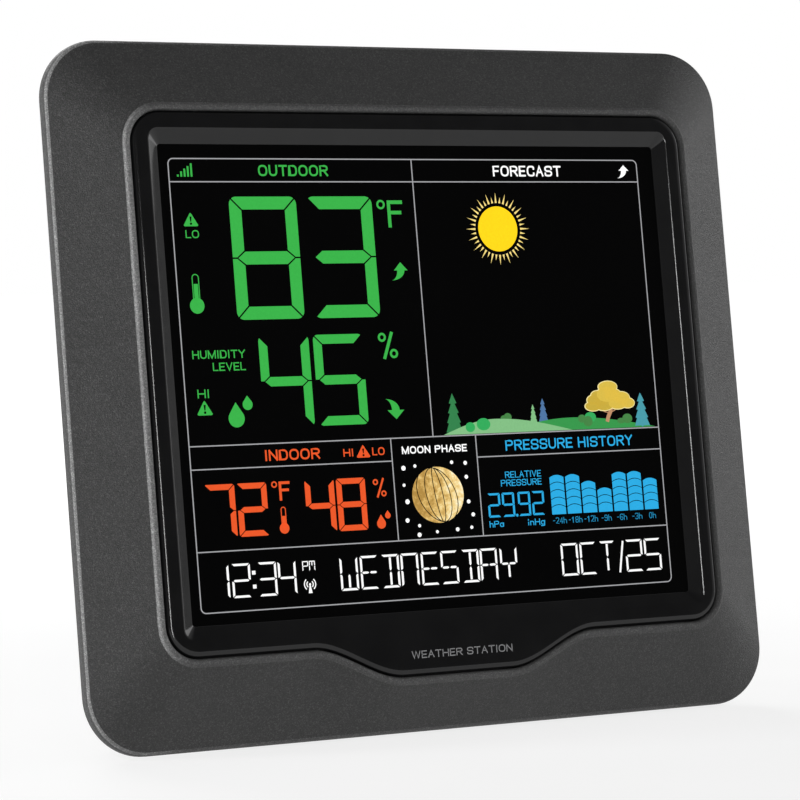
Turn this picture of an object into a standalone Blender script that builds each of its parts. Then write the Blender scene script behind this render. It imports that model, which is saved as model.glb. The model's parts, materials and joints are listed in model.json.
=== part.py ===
"""Home weather station: a desk display that leans back on a fold-out stand.

Everything is modelled in the case's own frame and then leaned back as one. In that frame +X is to the
right, +Y runs back from the plane of the frame's raised lip, and Z is 0 at the middle of the case's height.
"""

import math

import bmesh
import bpy
from mathutils import Matrix

MM = 0.001
GAP = 0.3 * MM  # clearance between neighbouring pieces

# Driving dimensions: the case
CASE_W = 188 * MM
CASE_H = 167 * MM
CASE_DEPTH = 30 * MM
LEAN = math.radians(9.2)
EDGE_CLEARANCE = 0.4 * MM  # the case's bottom edge stays this far off the desk
SET_FORWARD = 20.9 * MM  # brings the middle of the overall box, stand and all, over the origin
CORNER_R = 14.5 * MM
WALL = 2.5 * MM
SLOPE_DEPTH = 8.3 * MM  # the frame's face falls this far from its lip to its outer edge
RIM_DEPTH = 11.2 * MM
LIP_BACK = 2.9 * MM
RIM_STEP = 0.5 * MM  # the slope ends this far inside the outer edge

# Driving dimensions: the opening in the frame and the lobe in its bottom edge
LIP = (76.5 * MM, 65.5 * MM, -62.2 * MM, 8 * MM)  # half width, top, bottom, corner radius
LOBE_DROP = 8 * MM
LOBE_INNER = 15 * MM
LOBE_OUTER = 39 * MM
BEVEL_OUTER = (72.1 * MM, 61.2 * MM, -57.8 * MM, 2.6 * MM)
BEVEL_INNER = (69.0 * MM, 57.8 * MM, -54.7 * MM, 0.8 * MM)
BEVEL_DEPTH = 2.1 * MM
WINDOW_SEAT = 2.6 * MM
WINDOW_REBATE = 3 * MM  # the window's room runs this far past the opening
FLANGE = 1.8 * MM  # the surround's flange is this much wider than the frame's opening
FLANGE_DEPTHS = (3.2 * MM, 4.0 * MM)
CORNER_STEPS = 6
LOBE_STEPS = 20

# Driving dimensions: the rear
COVER_FOOT = (89 * MM, 78.5 * MM, -78.5 * MM, 13 * MM)
COVER_BACK = (85.5 * MM, 75 * MM, -75 * MM, 10 * MM)
COVER_WALL = 2 * MM
SCREW_X = 79 * MM
SCREW_Z = 68 * MM
BUTTON_X = 62 * MM
BUTTON_ROWS = (34 * MM, 8 * MM, -18 * MM)
BUTTON_R = 4 * MM
BUTTON_TRAVEL = 0.6 * MM
SWITCH_H = 3.8 * MM  # plunger included
SPEAKER = (50 * MM, 58 * MM)
JACK = (56 * MM, -52 * MM)
KEYHOLE_Z = 58 * MM
KEYHOLE_R = 4.2 * MM
WELL_FRONT = 15 * MM  # the case screws' heads sit here
COVER_OVERLAP = 0.6 * MM  # walls run this far into the cover's skin
FOOT_X = 62 * MM
FOOT_DEPTH = 17 * MM

# Driving dimensions: the stand
HINGE_DEPTH = 27.6 * MM
HINGE_Z = -3.5 * MM
LEG_LEAN = math.radians(14.5)  # from the vertical, with the stand open
LEG_HALF_W = 27.5 * MM
LEG_TIP_HALF_W = 23 * MM
LEG_THICK = 3.8 * MM
PAD_H = 1.8 * MM
PEG_R = 1.5 * MM
PEG_SPAN = 59.8 * MM  # over the tips of both pegs
CHANNEL_HALF_W = LEG_HALF_W + 0.8 * MM
CHANNEL_WALL = 3.2 * MM
CHANNEL_FLOOR = 25.4 * MM

# Driving dimensions: the display stack, as front and back depths
WINDOW = (2.9 * MM, 3.7 * MM)
FRONT_POLARISER = (4.3 * MM, 4.5 * MM)
FRONT_GLASS = (4.8 * MM, 5.9 * MM)
REAR_GLASS = (6.2 * MM, 7.3 * MM)
REAR_POLARISER = (7.6 * MM, 7.8 * MM)
DIFFUSER = (8.1 * MM, 8.3 * MM)
LIGHT_GUIDE = (8.6 * MM, 10.9 * MM)
REFLECTOR = (11.2 * MM, 11.4 * MM)
HOLDER = (4.3 * MM, 12.9 * MM)
HOLDER_FLOOR = 11.7 * MM
BOARD = (14.0 * MM, 15.6 * MM)
PANEL_HALF_W = 71.3 * MM
PANEL_TOP = 60.1 * MM
PANEL_BOTTOM = -56.0 * MM
LEDGE_BOTTOM = -60.9 * MM
CONNECTOR_HALF_W = 62 * MM
BOARD_HALF_W = 67.5 * MM
BOARD_TOP = 42 * MM
BOARD_BOTTOM = -62 * MM
BOARD_HOLE_R = 1.2 * MM
BOARD_SCREWS = ((-36 * MM, 38 * MM), (36 * MM, 38 * MM), (-36 * MM, -52 * MM), (36 * MM, -52 * MM))

# Driving dimensions: three AAA cells
CELL_R = 5.1 * MM
CELL_LENGTH = 44.5 * MM
CELL_PITCH = 11.2 * MM
BAY_Z = 25.5 * MM
BAY_HALF_W = 26 * MM
BAY_HALF_H = 1.5 * CELL_PITCH + 0.4 * MM
BAY_WALL = 1.2 * MM
BAY_FLOOR = 17.4 * MM
CELL_DEPTH = 23.1 * MM
DOOR_FRONT = 28.5 * MM
DOOR_HALF_W = 28.1 * MM
DOOR_HALF_H = 19.2 * MM
DOOR_LEDGE = 1.7 * MM  # the door's seat is this much wider than the door
CONTACT_DEPTH = 20 * MM  # the middle of the contacts' solder tabs
TAB_HALF_Y = 0.6 * MM
TAB_HALF_Z = 1.5 * MM
LEAD_PATH = (  # millimetres out from the middle, deep and down from the tab, which it leaves for the board
    (29, 20, 0), (31, 19.8, 1), (32.5, 18.8, 4), (33, 17.2, 7), (33, 16.1, 7.6),
)

COMPONENTS = (  # name, middle x, middle z, width, height, thickness, finish, on the board's rear face
    ("processor_chip", 0, -30 * MM, 14 * MM, 14 * MM, 1.4 * MM, "chip_black"),
    ("rf_receiver_module", -48 * MM, 34 * MM, 15 * MM, 13 * MM, 2.6 * MM, "steel"),
    ("pressure_sensor", 18 * MM, -46 * MM, 5 * MM, 5 * MM, 1.6 * MM, "steel"),
    ("humidity_sensor", -52 * MM, -50 * MM, 9 * MM, 12 * MM, 5 * MM, "sensor_white"),
)
AERIAL_PATH = (  # millimetres: up from the receiver, over its corner and down the left side
    (-50, 17.2, 41.3), (-50, 17.2, 50), (-55, 17.2, 53), (-68, 17.2, 53), (-72, 17.2, 49), (-72, 17.2, -38),
)

COLOURS = {  # red, green, blue, roughness, metallic
    "grey_plastic": (0.075, 0.075, 0.078, 0.5, 0.0),
    "gloss_black": (0.006, 0.006, 0.007, 0.12, 0.0),
    "clear": (0.02, 0.02, 0.022, 0.05, 0.0),
    "glass": (0.03, 0.035, 0.035, 0.05, 0.0),
    "film": (0.012, 0.012, 0.014, 0.25, 0.0),
    "white_film": (0.85, 0.85, 0.83, 0.5, 0.0),
    "white_plastic": (0.72, 0.72, 0.7, 0.5, 0.0),
    "board_green": (0.01, 0.12, 0.05, 0.45, 0.0),
    "chip_black": (0.015, 0.015, 0.016, 0.55, 0.0),
    "sensor_white": (0.8, 0.8, 0.78, 0.5, 0.0),
    "rubber": (0.02, 0.02, 0.02, 0.85, 0.0),
    "pink_rubber": (0.6, 0.25, 0.25, 0.7, 0.0),
    "steel": (0.55, 0.55, 0.56, 0.3, 1.0),
    "black_steel": (0.03, 0.03, 0.032, 0.4, 1.0),
    "ferrite": (0.05, 0.045, 0.045, 0.7, 0.0),
    "copper": (0.72, 0.33, 0.16, 0.35, 1.0),
    "cell_jacket": (0.03, 0.06, 0.16, 0.35, 0.2),
    "red_wire": (0.55, 0.02, 0.02, 0.5, 0.0),
    "black_wire": (0.02, 0.02, 0.02, 0.5, 0.0),
}


# --- Scene, collections and materials ---

def clear_scene():
    for obj in list(bpy.data.objects):
        bpy.data.objects.remove(obj, do_unlink=True)


def new_collection(name):
    collection = bpy.data.collections.new(name)
    bpy.context.scene.collection.children.link(collection)
    return collection


def make_material(name):
    red, green, blue, roughness, metallic = COLOURS[name]
    material = bpy.data.materials.new(name)
    material.use_nodes = True
    shader = material.node_tree.nodes["Principled BSDF"]
    shader.inputs["Base Color"].default_value = (red, green, blue, 1.0)
    shader.inputs["Roughness"].default_value = roughness
    shader.inputs["Metallic"].default_value = metallic
    return material


def empty(name, parent=None, location=(0, 0, 0), turn=0.0):
    """An empty turned about X, used as a frame for other objects."""
    obj = bpy.data.objects.new(name, None)
    obj.parent = parent
    obj.location = location
    obj.rotation_euler = (turn, 0, 0)
    parts.objects.link(obj)
    return obj


def finish(name, bm, finish_name, parent=None, smooth=False):
    """Turns a bmesh into one named part."""
    bmesh.ops.recalc_face_normals(bm, faces=bm.faces)
    mesh = bpy.data.meshes.new(name)
    bm.to_mesh(mesh)
    bm.free()
    mesh.materials.append(materials[finish_name])
    if smooth:
        mesh.shade_smooth()
        mesh.set_sharp_from_angle(angle=math.radians(35))
    obj = bpy.data.objects.new(name, mesh)
    obj.parent = parent
    parts.objects.link(obj)
    return obj


def tool(name, bm, parent=None):
    """Turns a bmesh into a hidden object that cuts or joins another."""
    bmesh.ops.recalc_face_normals(bm, faces=bm.faces)
    mesh = bpy.data.meshes.new(name)
    bm.to_mesh(mesh)
    bm.free()
    obj = bpy.data.objects.new(name, mesh)
    obj.parent = parent
    obj.hide_render = True
    obj.display_type = "WIRE"
    cutters.objects.link(obj)
    return obj


def boolean(obj, operation, other):
    modifier = obj.modifiers.new(f"{operation.lower()}_{other.name}"[:60], "BOOLEAN")
    modifier.operation = operation
    modifier.solver = "EXACT"
    modifier.object = other


# --- Shapes ---

def grown(shape, offset):
    """A rounded rectangle moved outwards by an offset on every side."""
    half_w, top, bottom, radius = shape
    return (half_w + offset, top + offset, bottom - offset, radius + offset)


def lobe(x):
    """How far the bottom edge dips at x: level in the middle, with an S-curve on each side."""
    t = (LOBE_OUTER - abs(x)) / (LOBE_OUTER - LOBE_INNER)
    t = min(1.0, max(0.0, t))
    return LOBE_DROP * t * t * (3 - 2 * t)


def outline(shape, lobed=None):
    """Points (x, z) round a rounded rectangle.

    lobed is None for no points along its bottom edge, else 1 or 0 for a bottom edge with the lobe or level.
    """
    half_w, top, bottom, radius = shape
    points = []
    if lobed is not None:
        for i in range(LOBE_STEPS + 1):
            x = LOBE_OUTER * (2 * i / LOBE_STEPS - 1)
            points.append((x, bottom - lobed * lobe(x)))
    low = bottom + radius
    high = top - radius
    corners = ((1, low, -90), (1, high, 0), (-1, high, 90), (-1, low, 180))
    for side, z, start in corners:
        for i in range(CORNER_STEPS + 1):
            angle = math.radians(start + 90 * i / CORNER_STEPS)
            x = side * (half_w - radius) + radius * math.cos(angle)
            points.append((x, z + radius * math.sin(angle)))
    return points


def loft(rings, closed=False):
    """A solid skinned over rings of (points, y).

    closed joins the last ring to the first; if not, the ends are capped.
    """
    bm = bmesh.new()
    loops = [[bm.verts.new((x, y, z)) for x, z in points] for points, y in rings]
    pairs = list(zip(loops, loops[1:]))
    if closed:
        pairs.append((loops[-1], loops[0]))
    for near, far in pairs:
        for i in range(len(near)):
            j = (i + 1) % len(near)
            bm.faces.new((near[i], near[j], far[j], far[i]))
    if not closed:
        bm.faces.new(loops[0])
        bm.faces.new(loops[-1])
    return bm


def box(*corner_pairs):
    """Boxes, each given as its low corner and its high corner."""
    bm = bmesh.new()
    for low, high in corner_pairs:
        size = [h - l for l, h in zip(low, high)]
        middle = [(h + l) / 2 for l, h in zip(low, high)]
        place = Matrix.Translation(middle) @ Matrix.Diagonal((*size, 1.0))
        bmesh.ops.create_cube(bm, size=1.0, matrix=place)
    return bm


TURNS = {
    "x": Matrix.Rotation(math.pi / 2, 4, "Y"),
    "y": Matrix.Rotation(-math.pi / 2, 4, "X"),
    "z": Matrix.Identity(4),
}


def rods(axis, *items, steps=16):
    """Round bars along one axis, each given as (middle point, radius, length)."""
    bm = bmesh.new()
    for middle, radius, length in items:
        bmesh.ops.create_cone(
            bm, cap_ends=True, segments=steps, radius1=radius, radius2=radius, depth=length,
            matrix=Matrix.Translation(middle) @ TURNS[axis],
        )
    return bm


def turned(name, profile, finish_name, parent=None, steps=20):
    """A solid of revolution about local Z. The profile's points (radius, z) run down its outer side."""
    mesh = bpy.data.meshes.new(name)
    edges = [(i, i + 1) for i in range(len(profile) - 1)]
    mesh.from_pydata([(radius, 0, z) for radius, z in profile], edges, [])
    mesh.materials.append(materials[finish_name])
    obj = bpy.data.objects.new(name, mesh)
    obj.parent = parent
    screw = obj.modifiers.new("turn", "SCREW")
    screw.angle = 2 * math.pi
    screw.steps = steps
    screw.render_steps = steps
    screw.use_merge_vertices = True
    screw.merge_threshold = 0.00001
    screw.use_smooth_shade = True
    parts.objects.link(obj)
    return obj


def wire(name, points, radius, finish_name, parent):
    """A wire through points, as a curve turned into a closed mesh."""
    curve = bpy.data.curves.new(name, "CURVE")
    curve.dimensions = "3D"
    curve.bevel_depth = radius
    curve.bevel_resolution = 1
    curve.use_fill_caps = True
    spline = curve.splines.new("POLY")
    spline.points.add(len(points) - 1)
    for spot, point in zip(spline.points, points):
        spot.co = (*point, 1.0)
    temporary = bpy.data.objects.new(name + "_curve", curve)
    temporary.parent = parent
    parts.objects.link(temporary)
    bpy.context.view_layer.update()
    evaluated = temporary.evaluated_get(bpy.context.evaluated_depsgraph_get())
    mesh = bpy.data.meshes.new_from_object(evaluated)
    bm = bmesh.new()
    bm.from_mesh(mesh)
    bmesh.ops.remove_doubles(bm, verts=bm.verts, dist=0.00001)
    place = temporary.matrix_world.copy()
    bpy.data.meshes.remove(mesh)
    bpy.data.objects.remove(temporary)
    obj = finish(name, bm, finish_name, parent, smooth=True)
    obj.matrix_world = place
    return obj


def slab(name, depths, half_w, bottom, top, finish_name):
    """A plain rectangular layer of the display stack."""
    return finish(name, box(((-half_w, depths[0], bottom), (half_w, depths[1], top))), finish_name, case)


# --- The front: frame, surround, window ---

def make_front_frame():
    outer = (CASE_W / 2, CASE_H / 2, -CASE_H / 2, CORNER_R)
    edge = grown(outer, -RIM_STEP)
    inside = grown(outer, -WALL)
    crest = grown(LIP, 0.4 * MM)
    lip_outer = grown(LIP, 1.4 * MM)
    rings = [
        (outline(LIP, 1), 0.5 * MM),
        (outline(crest, 1), 0.0),
        (outline(lip_outer, 1), 0.35 * MM),
        (outline(edge, 0), SLOPE_DEPTH),
        (outline(outer, 0), SLOPE_DEPTH + 0.8 * MM),
        (outline(outer, 0), RIM_DEPTH),
        (outline(inside, 0), RIM_DEPTH),
        (outline(inside, 0), SLOPE_DEPTH + 1.2 * MM),
        (outline(grown(LIP, FLANGE + GAP), 1), LIP_BACK),
        (outline(LIP, 1), LIP_BACK),
    ]
    frame = finish("front_frame", loft(rings, closed=True), "grey_plastic", case, smooth=True)
    add_screw_bosses(frame)
    return frame


def case_screw_spots():
    return [(sx * SCREW_X, sz * SCREW_Z) for sx in (-1, 1) for sz in (-1, 1)]


def add_screw_bosses(frame):
    front = 4.9 * MM
    back = RIM_DEPTH - 1.4 * MM
    boss_r = 3.4 * MM
    hole_r = 1.4 * MM
    hole_middle = 9 * MM
    hole_length = 6 * MM
    boss = [((x, (front + back) / 2, z), boss_r, back - front) for x, z in case_screw_spots()]
    boolean(frame, "UNION", tool("frame_bosses", rods("y", *boss), case))
    hole = [((x, hole_middle, z), hole_r, hole_length) for x, z in case_screw_spots()]
    boolean(frame, "DIFFERENCE", tool("frame_boss_holes", rods("y", *hole, steps=12), case))


def make_screen_surround():
    side = grown(LIP, -GAP)
    rebate = grown(BEVEL_INNER, WINDOW_REBATE)
    flange = grown(LIP, FLANGE)
    rings = [
        (outline(side, 1), 0.9 * MM),
        (outline(grown(side, -0.25 * MM), 1), 0.35 * MM),
        (outline(grown(side, -0.9 * MM), 1), 0.05 * MM),
        (outline(BEVEL_OUTER, 0), 0.0),
        (outline(BEVEL_INNER, 0), BEVEL_DEPTH),
        (outline(BEVEL_INNER, 0), WINDOW_SEAT),
        (outline(rebate, 0), WINDOW_SEAT),
        (outline(rebate, 0), FLANGE_DEPTHS[1]),
        (outline(flange, 1), FLANGE_DEPTHS[1]),
        (outline(flange, 1), FLANGE_DEPTHS[0]),
        (outline(side, 1), FLANGE_DEPTHS[0]),
    ]
    return finish("screen_surround", loft(rings, closed=True), "gloss_black", case, smooth=True)


def make_display():
    pane = outline(grown(BEVEL_INNER, WINDOW_REBATE - GAP))
    finish("display_window", loft([(pane, WINDOW[0]), (pane, WINDOW[1])]), "clear", case)
    film_inset = 0.7 * MM
    film_w = PANEL_HALF_W - film_inset
    film_top = PANEL_TOP - film_inset
    slab("front_polariser", FRONT_POLARISER, film_w, PANEL_BOTTOM, film_top, "film")
    slab("lcd_front_glass", FRONT_GLASS, PANEL_HALF_W, LEDGE_BOTTOM, PANEL_TOP, "glass")
    slab("lcd_rear_glass", REAR_GLASS, PANEL_HALF_W, PANEL_BOTTOM, PANEL_TOP, "glass")
    slab("rear_polariser", REAR_POLARISER, film_w, PANEL_BOTTOM, film_top, "film")
    slab("diffuser_sheet", DIFFUSER, PANEL_HALF_W, PANEL_BOTTOM, PANEL_TOP, "white_film")
    lamp_room = 3.2 * MM
    guide_top = PANEL_TOP - lamp_room
    slab("light_guide", LIGHT_GUIDE, PANEL_HALF_W, PANEL_BOTTOM, guide_top, "clear")
    slab("reflector_sheet", REFLECTOR, PANEL_HALF_W, PANEL_BOTTOM, PANEL_TOP, "white_film")
    make_led_bar(guide_top + GAP)


def make_led_bar(bottom):
    """A strip with a row of square lamps that shine down into the light guide's edge."""
    lamp_count = 8
    lamp_pitch = 16 * MM
    lamp_half = 1.8 * MM
    lamp_h = 1.4 * MM
    strip_half = 66 * MM
    front, back = LIGHT_GUIDE
    lamps = []
    for i in range(lamp_count):
        x = (i - (lamp_count - 1) / 2) * lamp_pitch
        lamps.append(((x - lamp_half, front, bottom), (x + lamp_half, back, bottom + lamp_h)))
    strip = ((-strip_half, front + 0.2 * MM, bottom + lamp_h - 0.2 * MM), (strip_half, back, PANEL_TOP))
    bar = finish("backlight_led_bar", box(strip), "white_plastic", case)
    boolean(bar, "UNION", tool("led_lamps", box(*lamps), case))


def make_holder():
    """The tray that holds the glass and the backlight, with a slot for the connector and four standoffs."""
    half_w = PANEL_HALF_W + GAP
    wall = 1.6 * MM
    low = LEDGE_BOTTOM - GAP
    high = PANEL_TOP + GAP
    tray = box(((-half_w - wall, HOLDER[0], low - wall), (half_w + wall, HOLDER[1], high + wall)))
    holder = finish("lcd_holder", tray, "white_plastic", case)
    room = box(((-half_w, 0, low), (half_w, HOLDER_FLOOR, high)))
    boolean(holder, "DIFFERENCE", tool("holder_room", room, case))
    slot_half = CONNECTOR_HALF_W + 0.5 * MM
    slot_top = PANEL_BOTTOM - 0.6 * MM
    slot = box(((-slot_half, HOLDER_FLOOR - wall, LEDGE_BOTTOM), (slot_half, BOARD[0], slot_top)))
    boolean(holder, "DIFFERENCE", tool("holder_slot", slot, case))
    back = BOARD[0] - GAP
    post_front = HOLDER_FLOOR + 0.5 * MM
    post_r = 3 * MM
    posts = [((x, (back + post_front) / 2, z), post_r, back - post_front) for x, z in BOARD_SCREWS]
    boolean(holder, "UNION", tool("holder_posts", rods("y", *posts), case))
    hole_middle = 13 * MM
    hole_length = 4 * MM
    holes = [((x, hole_middle, z), BOARD_HOLE_R, hole_length) for x, z in BOARD_SCREWS]
    boolean(holder, "DIFFERENCE", tool("holder_holes", rods("y", *holes, steps=12), case))
    low = (-CONNECTOR_HALF_W, REAR_GLASS[0], LEDGE_BOTTOM + GAP)
    strip = box((low, (CONNECTOR_HALF_W, back, slot_top - GAP)))
    finish("zebra_connector", strip, "pink_rubber", case)


# --- Electronics ---

def on_board(name, x, z, width, height, thickness, finish_name):
    """A flat component on the board's rear face."""
    front = BOARD[1] + GAP
    low = (x - width / 2, front, z - height / 2)
    return finish(name, box((low, (x + width / 2, front + thickness, z + height / 2))), finish_name, case)


def make_board():
    sheet = box(((-BOARD_HALF_W, BOARD[0], BOARD_BOTTOM), (BOARD_HALF_W, BOARD[1], BOARD_TOP)))
    board = finish("main_board", sheet, "board_green", case)
    drill = 6 * MM
    holes = [((x, BOARD[0], z), BOARD_HOLE_R, drill) for x, z in BOARD_SCREWS]
    boolean(board, "DIFFERENCE", tool("board_holes", rods("y", *holes, steps=12), case))
    for component in COMPONENTS:
        on_board(*component)
    aerial = [tuple(v * MM for v in point) for point in AERIAL_PATH]
    wire("antenna_wire", aerial, 0.6 * MM, "black_wire", case)
    screw_shape = screw_profile(head_r=2.2 * MM, head_h=1.3 * MM, shaft_r=0.85 * MM, shaft_l=3.4 * MM)
    for number, (x, z) in enumerate(BOARD_SCREWS, 1):
        screw = turned(f"board_screw_{number}", screw_shape, "steel", case, 12)
        screw.location = (x, BOARD[1] + GAP, z)
        screw.rotation_euler = (-math.pi / 2, 0, 0)


def screw_profile(head_r, head_h, shaft_r, shaft_l):
    """A pan-head screw whose head rests at z = 0 and whose shaft points down."""
    head = ((0, head_h), (head_r * 0.7, head_h), (head_r, head_h * 0.5), (head_r, 0))
    shaft = ((shaft_r, 0), (shaft_r, -shaft_l), (0, -shaft_l - shaft_r))
    return head + shaft


def make_aerial_rod():
    """The aerial for radio time: a ferrite rod with a coil round its middle."""
    middle = (0, 17.5 * MM, 66 * MM)
    rod_r = 3.8 * MM
    rod_length = 58 * MM
    coil_r = 4.6 * MM
    coil_length = 16 * MM
    finish("ferrite_rod", rods("x", (middle, rod_r, rod_length)), "ferrite", case, smooth=True)
    winding = rods("x", (middle, coil_r, coil_length), steps=20)
    coil = finish("ferrite_coil", winding, "copper", case, smooth=True)
    bore = rods("x", (middle, rod_r + GAP / 3, coil_length + 4 * MM))
    boolean(coil, "DIFFERENCE", tool("coil_bore", bore, case))


def make_buzzer():
    """A flat round buzzer just inside the speaker holes."""
    x, z = SPEAKER
    radius = 9.5 * MM
    thickness = 4 * MM
    middle = CASE_DEPTH - COVER_WALL - thickness / 2 - 0.4 * MM
    buzzer = rods("y", ((x, middle, z), radius, thickness), steps=24)
    finish("piezo_buzzer", buzzer, "chip_black", case, smooth=True)


def make_jack():
    """The power socket: a block on the board with a round bore and a centre pin."""
    front = BOARD[1] + GAP
    back = CASE_DEPTH - COVER_WALL - GAP
    x, z = JACK
    half_w = 4.5 * MM
    half_h = 5.5 * MM
    bore_r = 2.8 * MM
    bore_l = 10 * MM
    pin_r = 0.9 * MM
    pin_l = 9 * MM
    shell = box(((x - half_w, front, z - half_h), (x + half_w, back, z + half_h)))
    jack = finish("dc_jack", shell, "chip_black", case)
    bore = rods("y", ((x, back - 4 * MM, z), bore_r, bore_l))
    boolean(jack, "DIFFERENCE", tool("jack_bore", bore, case))
    pin = rods("y", ((x, back - 1 * MM - pin_l / 2, z), pin_r, pin_l), steps=10)
    boolean(jack, "UNION", tool("jack_pin", pin, case))


# --- Rear cover, buttons and door ---

def button_spots():
    """The six buttons' places (x, z), top to bottom on one side and then on the other."""
    return [(side * BUTTON_X, z) for side in (1, -1) for z in BUTTON_ROWS]


def make_rear_cover():
    outer = (CASE_W / 2, CASE_H / 2, -CASE_H / 2, CORNER_R)
    flange = grown(outer, -WALL - GAP)
    flange_front = SLOPE_DEPTH + 1.6 * MM
    flange_back = RIM_DEPTH + GAP
    inner_back = CASE_DEPTH - COVER_WALL
    skin = 2.2 * MM
    rings = [
        (outline(grown(COVER_BACK, -1.2 * MM)), CASE_DEPTH),
        (outline(COVER_BACK), CASE_DEPTH - 1.0 * MM),
        (outline(COVER_FOOT), flange_back),
        (outline(flange), flange_back),
        (outline(flange), flange_front),
        (outline(grown(COVER_FOOT, -skin)), flange_front),
        (outline(grown(COVER_FOOT, -skin)), flange_back + 0.4 * MM),
        (outline(grown(COVER_BACK, -skin - 0.2 * MM)), inner_back),
    ]
    cover = finish("rear_cover", loft(rings), "grey_plastic", case, smooth=True)
    add_cover_walls(cover, inner_back)
    cut_cover_wells(cover)
    cut_cover_openings(cover)
    return cover


def add_cover_walls(cover, inner_back):
    """The stand's channel, the battery bay, the door's seat and the four screw posts, as solid blocks."""
    far = inner_back + COVER_OVERLAP
    half_w = CHANNEL_HALF_W + CHANNEL_WALL
    channel = box(((-half_w, CHANNEL_FLOOR - 2.2 * MM, -74 * MM), (half_w, far, HINGE_Z + 5 * MM)))
    boolean(cover, "UNION", tool("channel_block", channel, case))
    half_w = BAY_HALF_W + BAY_WALL
    half_h = BAY_HALF_H + BAY_WALL
    bay = box(((-half_w, BAY_FLOOR - 1.1 * MM, BAY_Z - half_h), (half_w, far, BAY_Z + half_h)))
    boolean(cover, "UNION", tool("bay_block", bay, case))
    half_w = DOOR_HALF_W + DOOR_LEDGE
    half_h = DOOR_HALF_H + DOOR_LEDGE
    seat = box(((-half_w, inner_back - 1.6 * MM, BAY_Z - half_h), (half_w, far, BAY_Z + half_h)))
    boolean(cover, "UNION", tool("door_seat", seat, case))
    front = RIM_DEPTH + 1.0 * MM
    post_r = 4.2 * MM
    posts = [((x, (front + far) / 2, z), post_r, far - front) for x, z in case_screw_spots()]
    boolean(cover, "UNION", tool("screw_posts", rods("y", *posts), case))


def cut_cover_wells(cover):
    """The room inside the channel, the bay, the door's recess and the screw wells."""
    past = CASE_DEPTH + 1 * MM
    low = (-CHANNEL_HALF_W, CHANNEL_FLOOR, -80 * MM)
    channel = box((low, (CHANNEL_HALF_W, past, HINGE_Z + 2.6 * MM)))
    boolean(cover, "DIFFERENCE", tool("channel_room", channel, case))
    bay = box(((-BAY_HALF_W, BAY_FLOOR, BAY_Z - BAY_HALF_H), (BAY_HALF_W, past, BAY_Z + BAY_HALF_H)))
    boolean(cover, "DIFFERENCE", tool("bay_room", bay, case))
    half_w = DOOR_HALF_W + GAP
    half_h = DOOR_HALF_H + GAP
    door = box(((-half_w, DOOR_FRONT - GAP, BAY_Z - half_h), (half_w, past, BAY_Z + half_h)))
    boolean(cover, "DIFFERENCE", tool("door_room", door, case))
    well_r = 3.2 * MM
    shaft_r = 1.5 * MM
    shaft_length = 6 * MM
    wells = [((x, (WELL_FRONT + past) / 2, z), well_r, past - WELL_FRONT) for x, z in case_screw_spots()]
    shafts = [((x, WELL_FRONT - 1 * MM, z), shaft_r, shaft_length) for x, z in case_screw_spots()]
    boolean(cover, "DIFFERENCE", tool("screw_wells", rods("y", *wells), case))
    boolean(cover, "DIFFERENCE", tool("screw_shafts", rods("y", *shafts, steps=12), case))


def cut_cover_openings(cover):
    """Button holes, jack hole, speaker holes, vents, the keyhole, the hinge sockets and the small slots."""
    cut_round_holes(cover)
    cut_vents_and_keyhole(cover)
    sockets = rods("x", ((0, HINGE_DEPTH, HINGE_Z), PEG_R + GAP, PEG_SPAN + 1.4 * MM))
    boolean(cover, "DIFFERENCE", tool("hinge_sockets", sockets, case))
    slot_half_y = TAB_HALF_Y + GAP
    slot_half_z = TAB_HALF_Z + GAP
    tabs = []
    for side, z in ((-1, BAY_Z + CELL_PITCH), (1, BAY_Z - CELL_PITCH)):
        near, far = sorted((side * (BAY_HALF_W - 1 * MM), side * (BAY_HALF_W + 2 * MM)))
        low = (near, CONTACT_DEPTH - slot_half_y, z - slot_half_z)
        tabs.append((low, (far, CONTACT_DEPTH + slot_half_y, z + slot_half_z)))
    boolean(cover, "DIFFERENCE", tool("contact_slots", box(*tabs), case))
    socket_r = 1.8 * MM
    socket_middle = 6 * MM
    socket_length = 8 * MM
    pegs = [((side * FOOT_X, foot_y(), socket_middle), socket_r, socket_length) for side in (-1, 1)]
    boolean(cover, "DIFFERENCE", tool("foot_sockets", rods("z", *pegs, steps=12)))


def cut_round_holes(cover):
    middle = CASE_DEPTH - COVER_WALL / 2
    deep = COVER_WALL + 1.5 * MM
    jack_hole_r = 3.4 * MM
    round_holes = [((x, middle, z), BUTTON_R + GAP, deep) for x, z in button_spots()]
    round_holes.append(((JACK[0], middle, JACK[1]), jack_hole_r, deep))
    round_holes.append(((0, middle, KEYHOLE_Z), KEYHOLE_R, deep))
    boolean(cover, "DIFFERENCE", tool("round_holes", rods("y", *round_holes, steps=20), case))
    sound_r = 0.9 * MM
    ring_r = 4 * MM
    x, z = SPEAKER
    sound = [((x, middle, z), sound_r, deep)]
    for i in range(6):
        angle = math.radians(60 * i)
        sound.append(((x + ring_r * math.cos(angle), middle, z + ring_r * math.sin(angle)), sound_r, deep))
    boolean(cover, "DIFFERENCE", tool("sound_holes", rods("y", *sound, steps=8), case))


def cut_vents_and_keyhole(cover):
    near = CASE_DEPTH - 3 * MM
    past = CASE_DEPTH + 1 * MM
    neck_half = KEYHOLE_R / 2
    neck_top = KEYHOLE_Z + 9 * MM
    vent_left = -60.75 * MM
    vent_pitch = 3.5 * MM
    vent_half = 0.8 * MM
    vent_bottom = -62 * MM
    vent_top = -50 * MM
    slots = [((-neck_half, near, KEYHOLE_Z), (neck_half, past, neck_top))]
    for i in range(6):
        x = vent_left + vent_pitch * i
        slots.append(((x - vent_half, near, vent_bottom), (x + vent_half, past, vent_top)))
    boolean(cover, "DIFFERENCE", tool("vents_and_keyhole", box(*slots), case))


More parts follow.
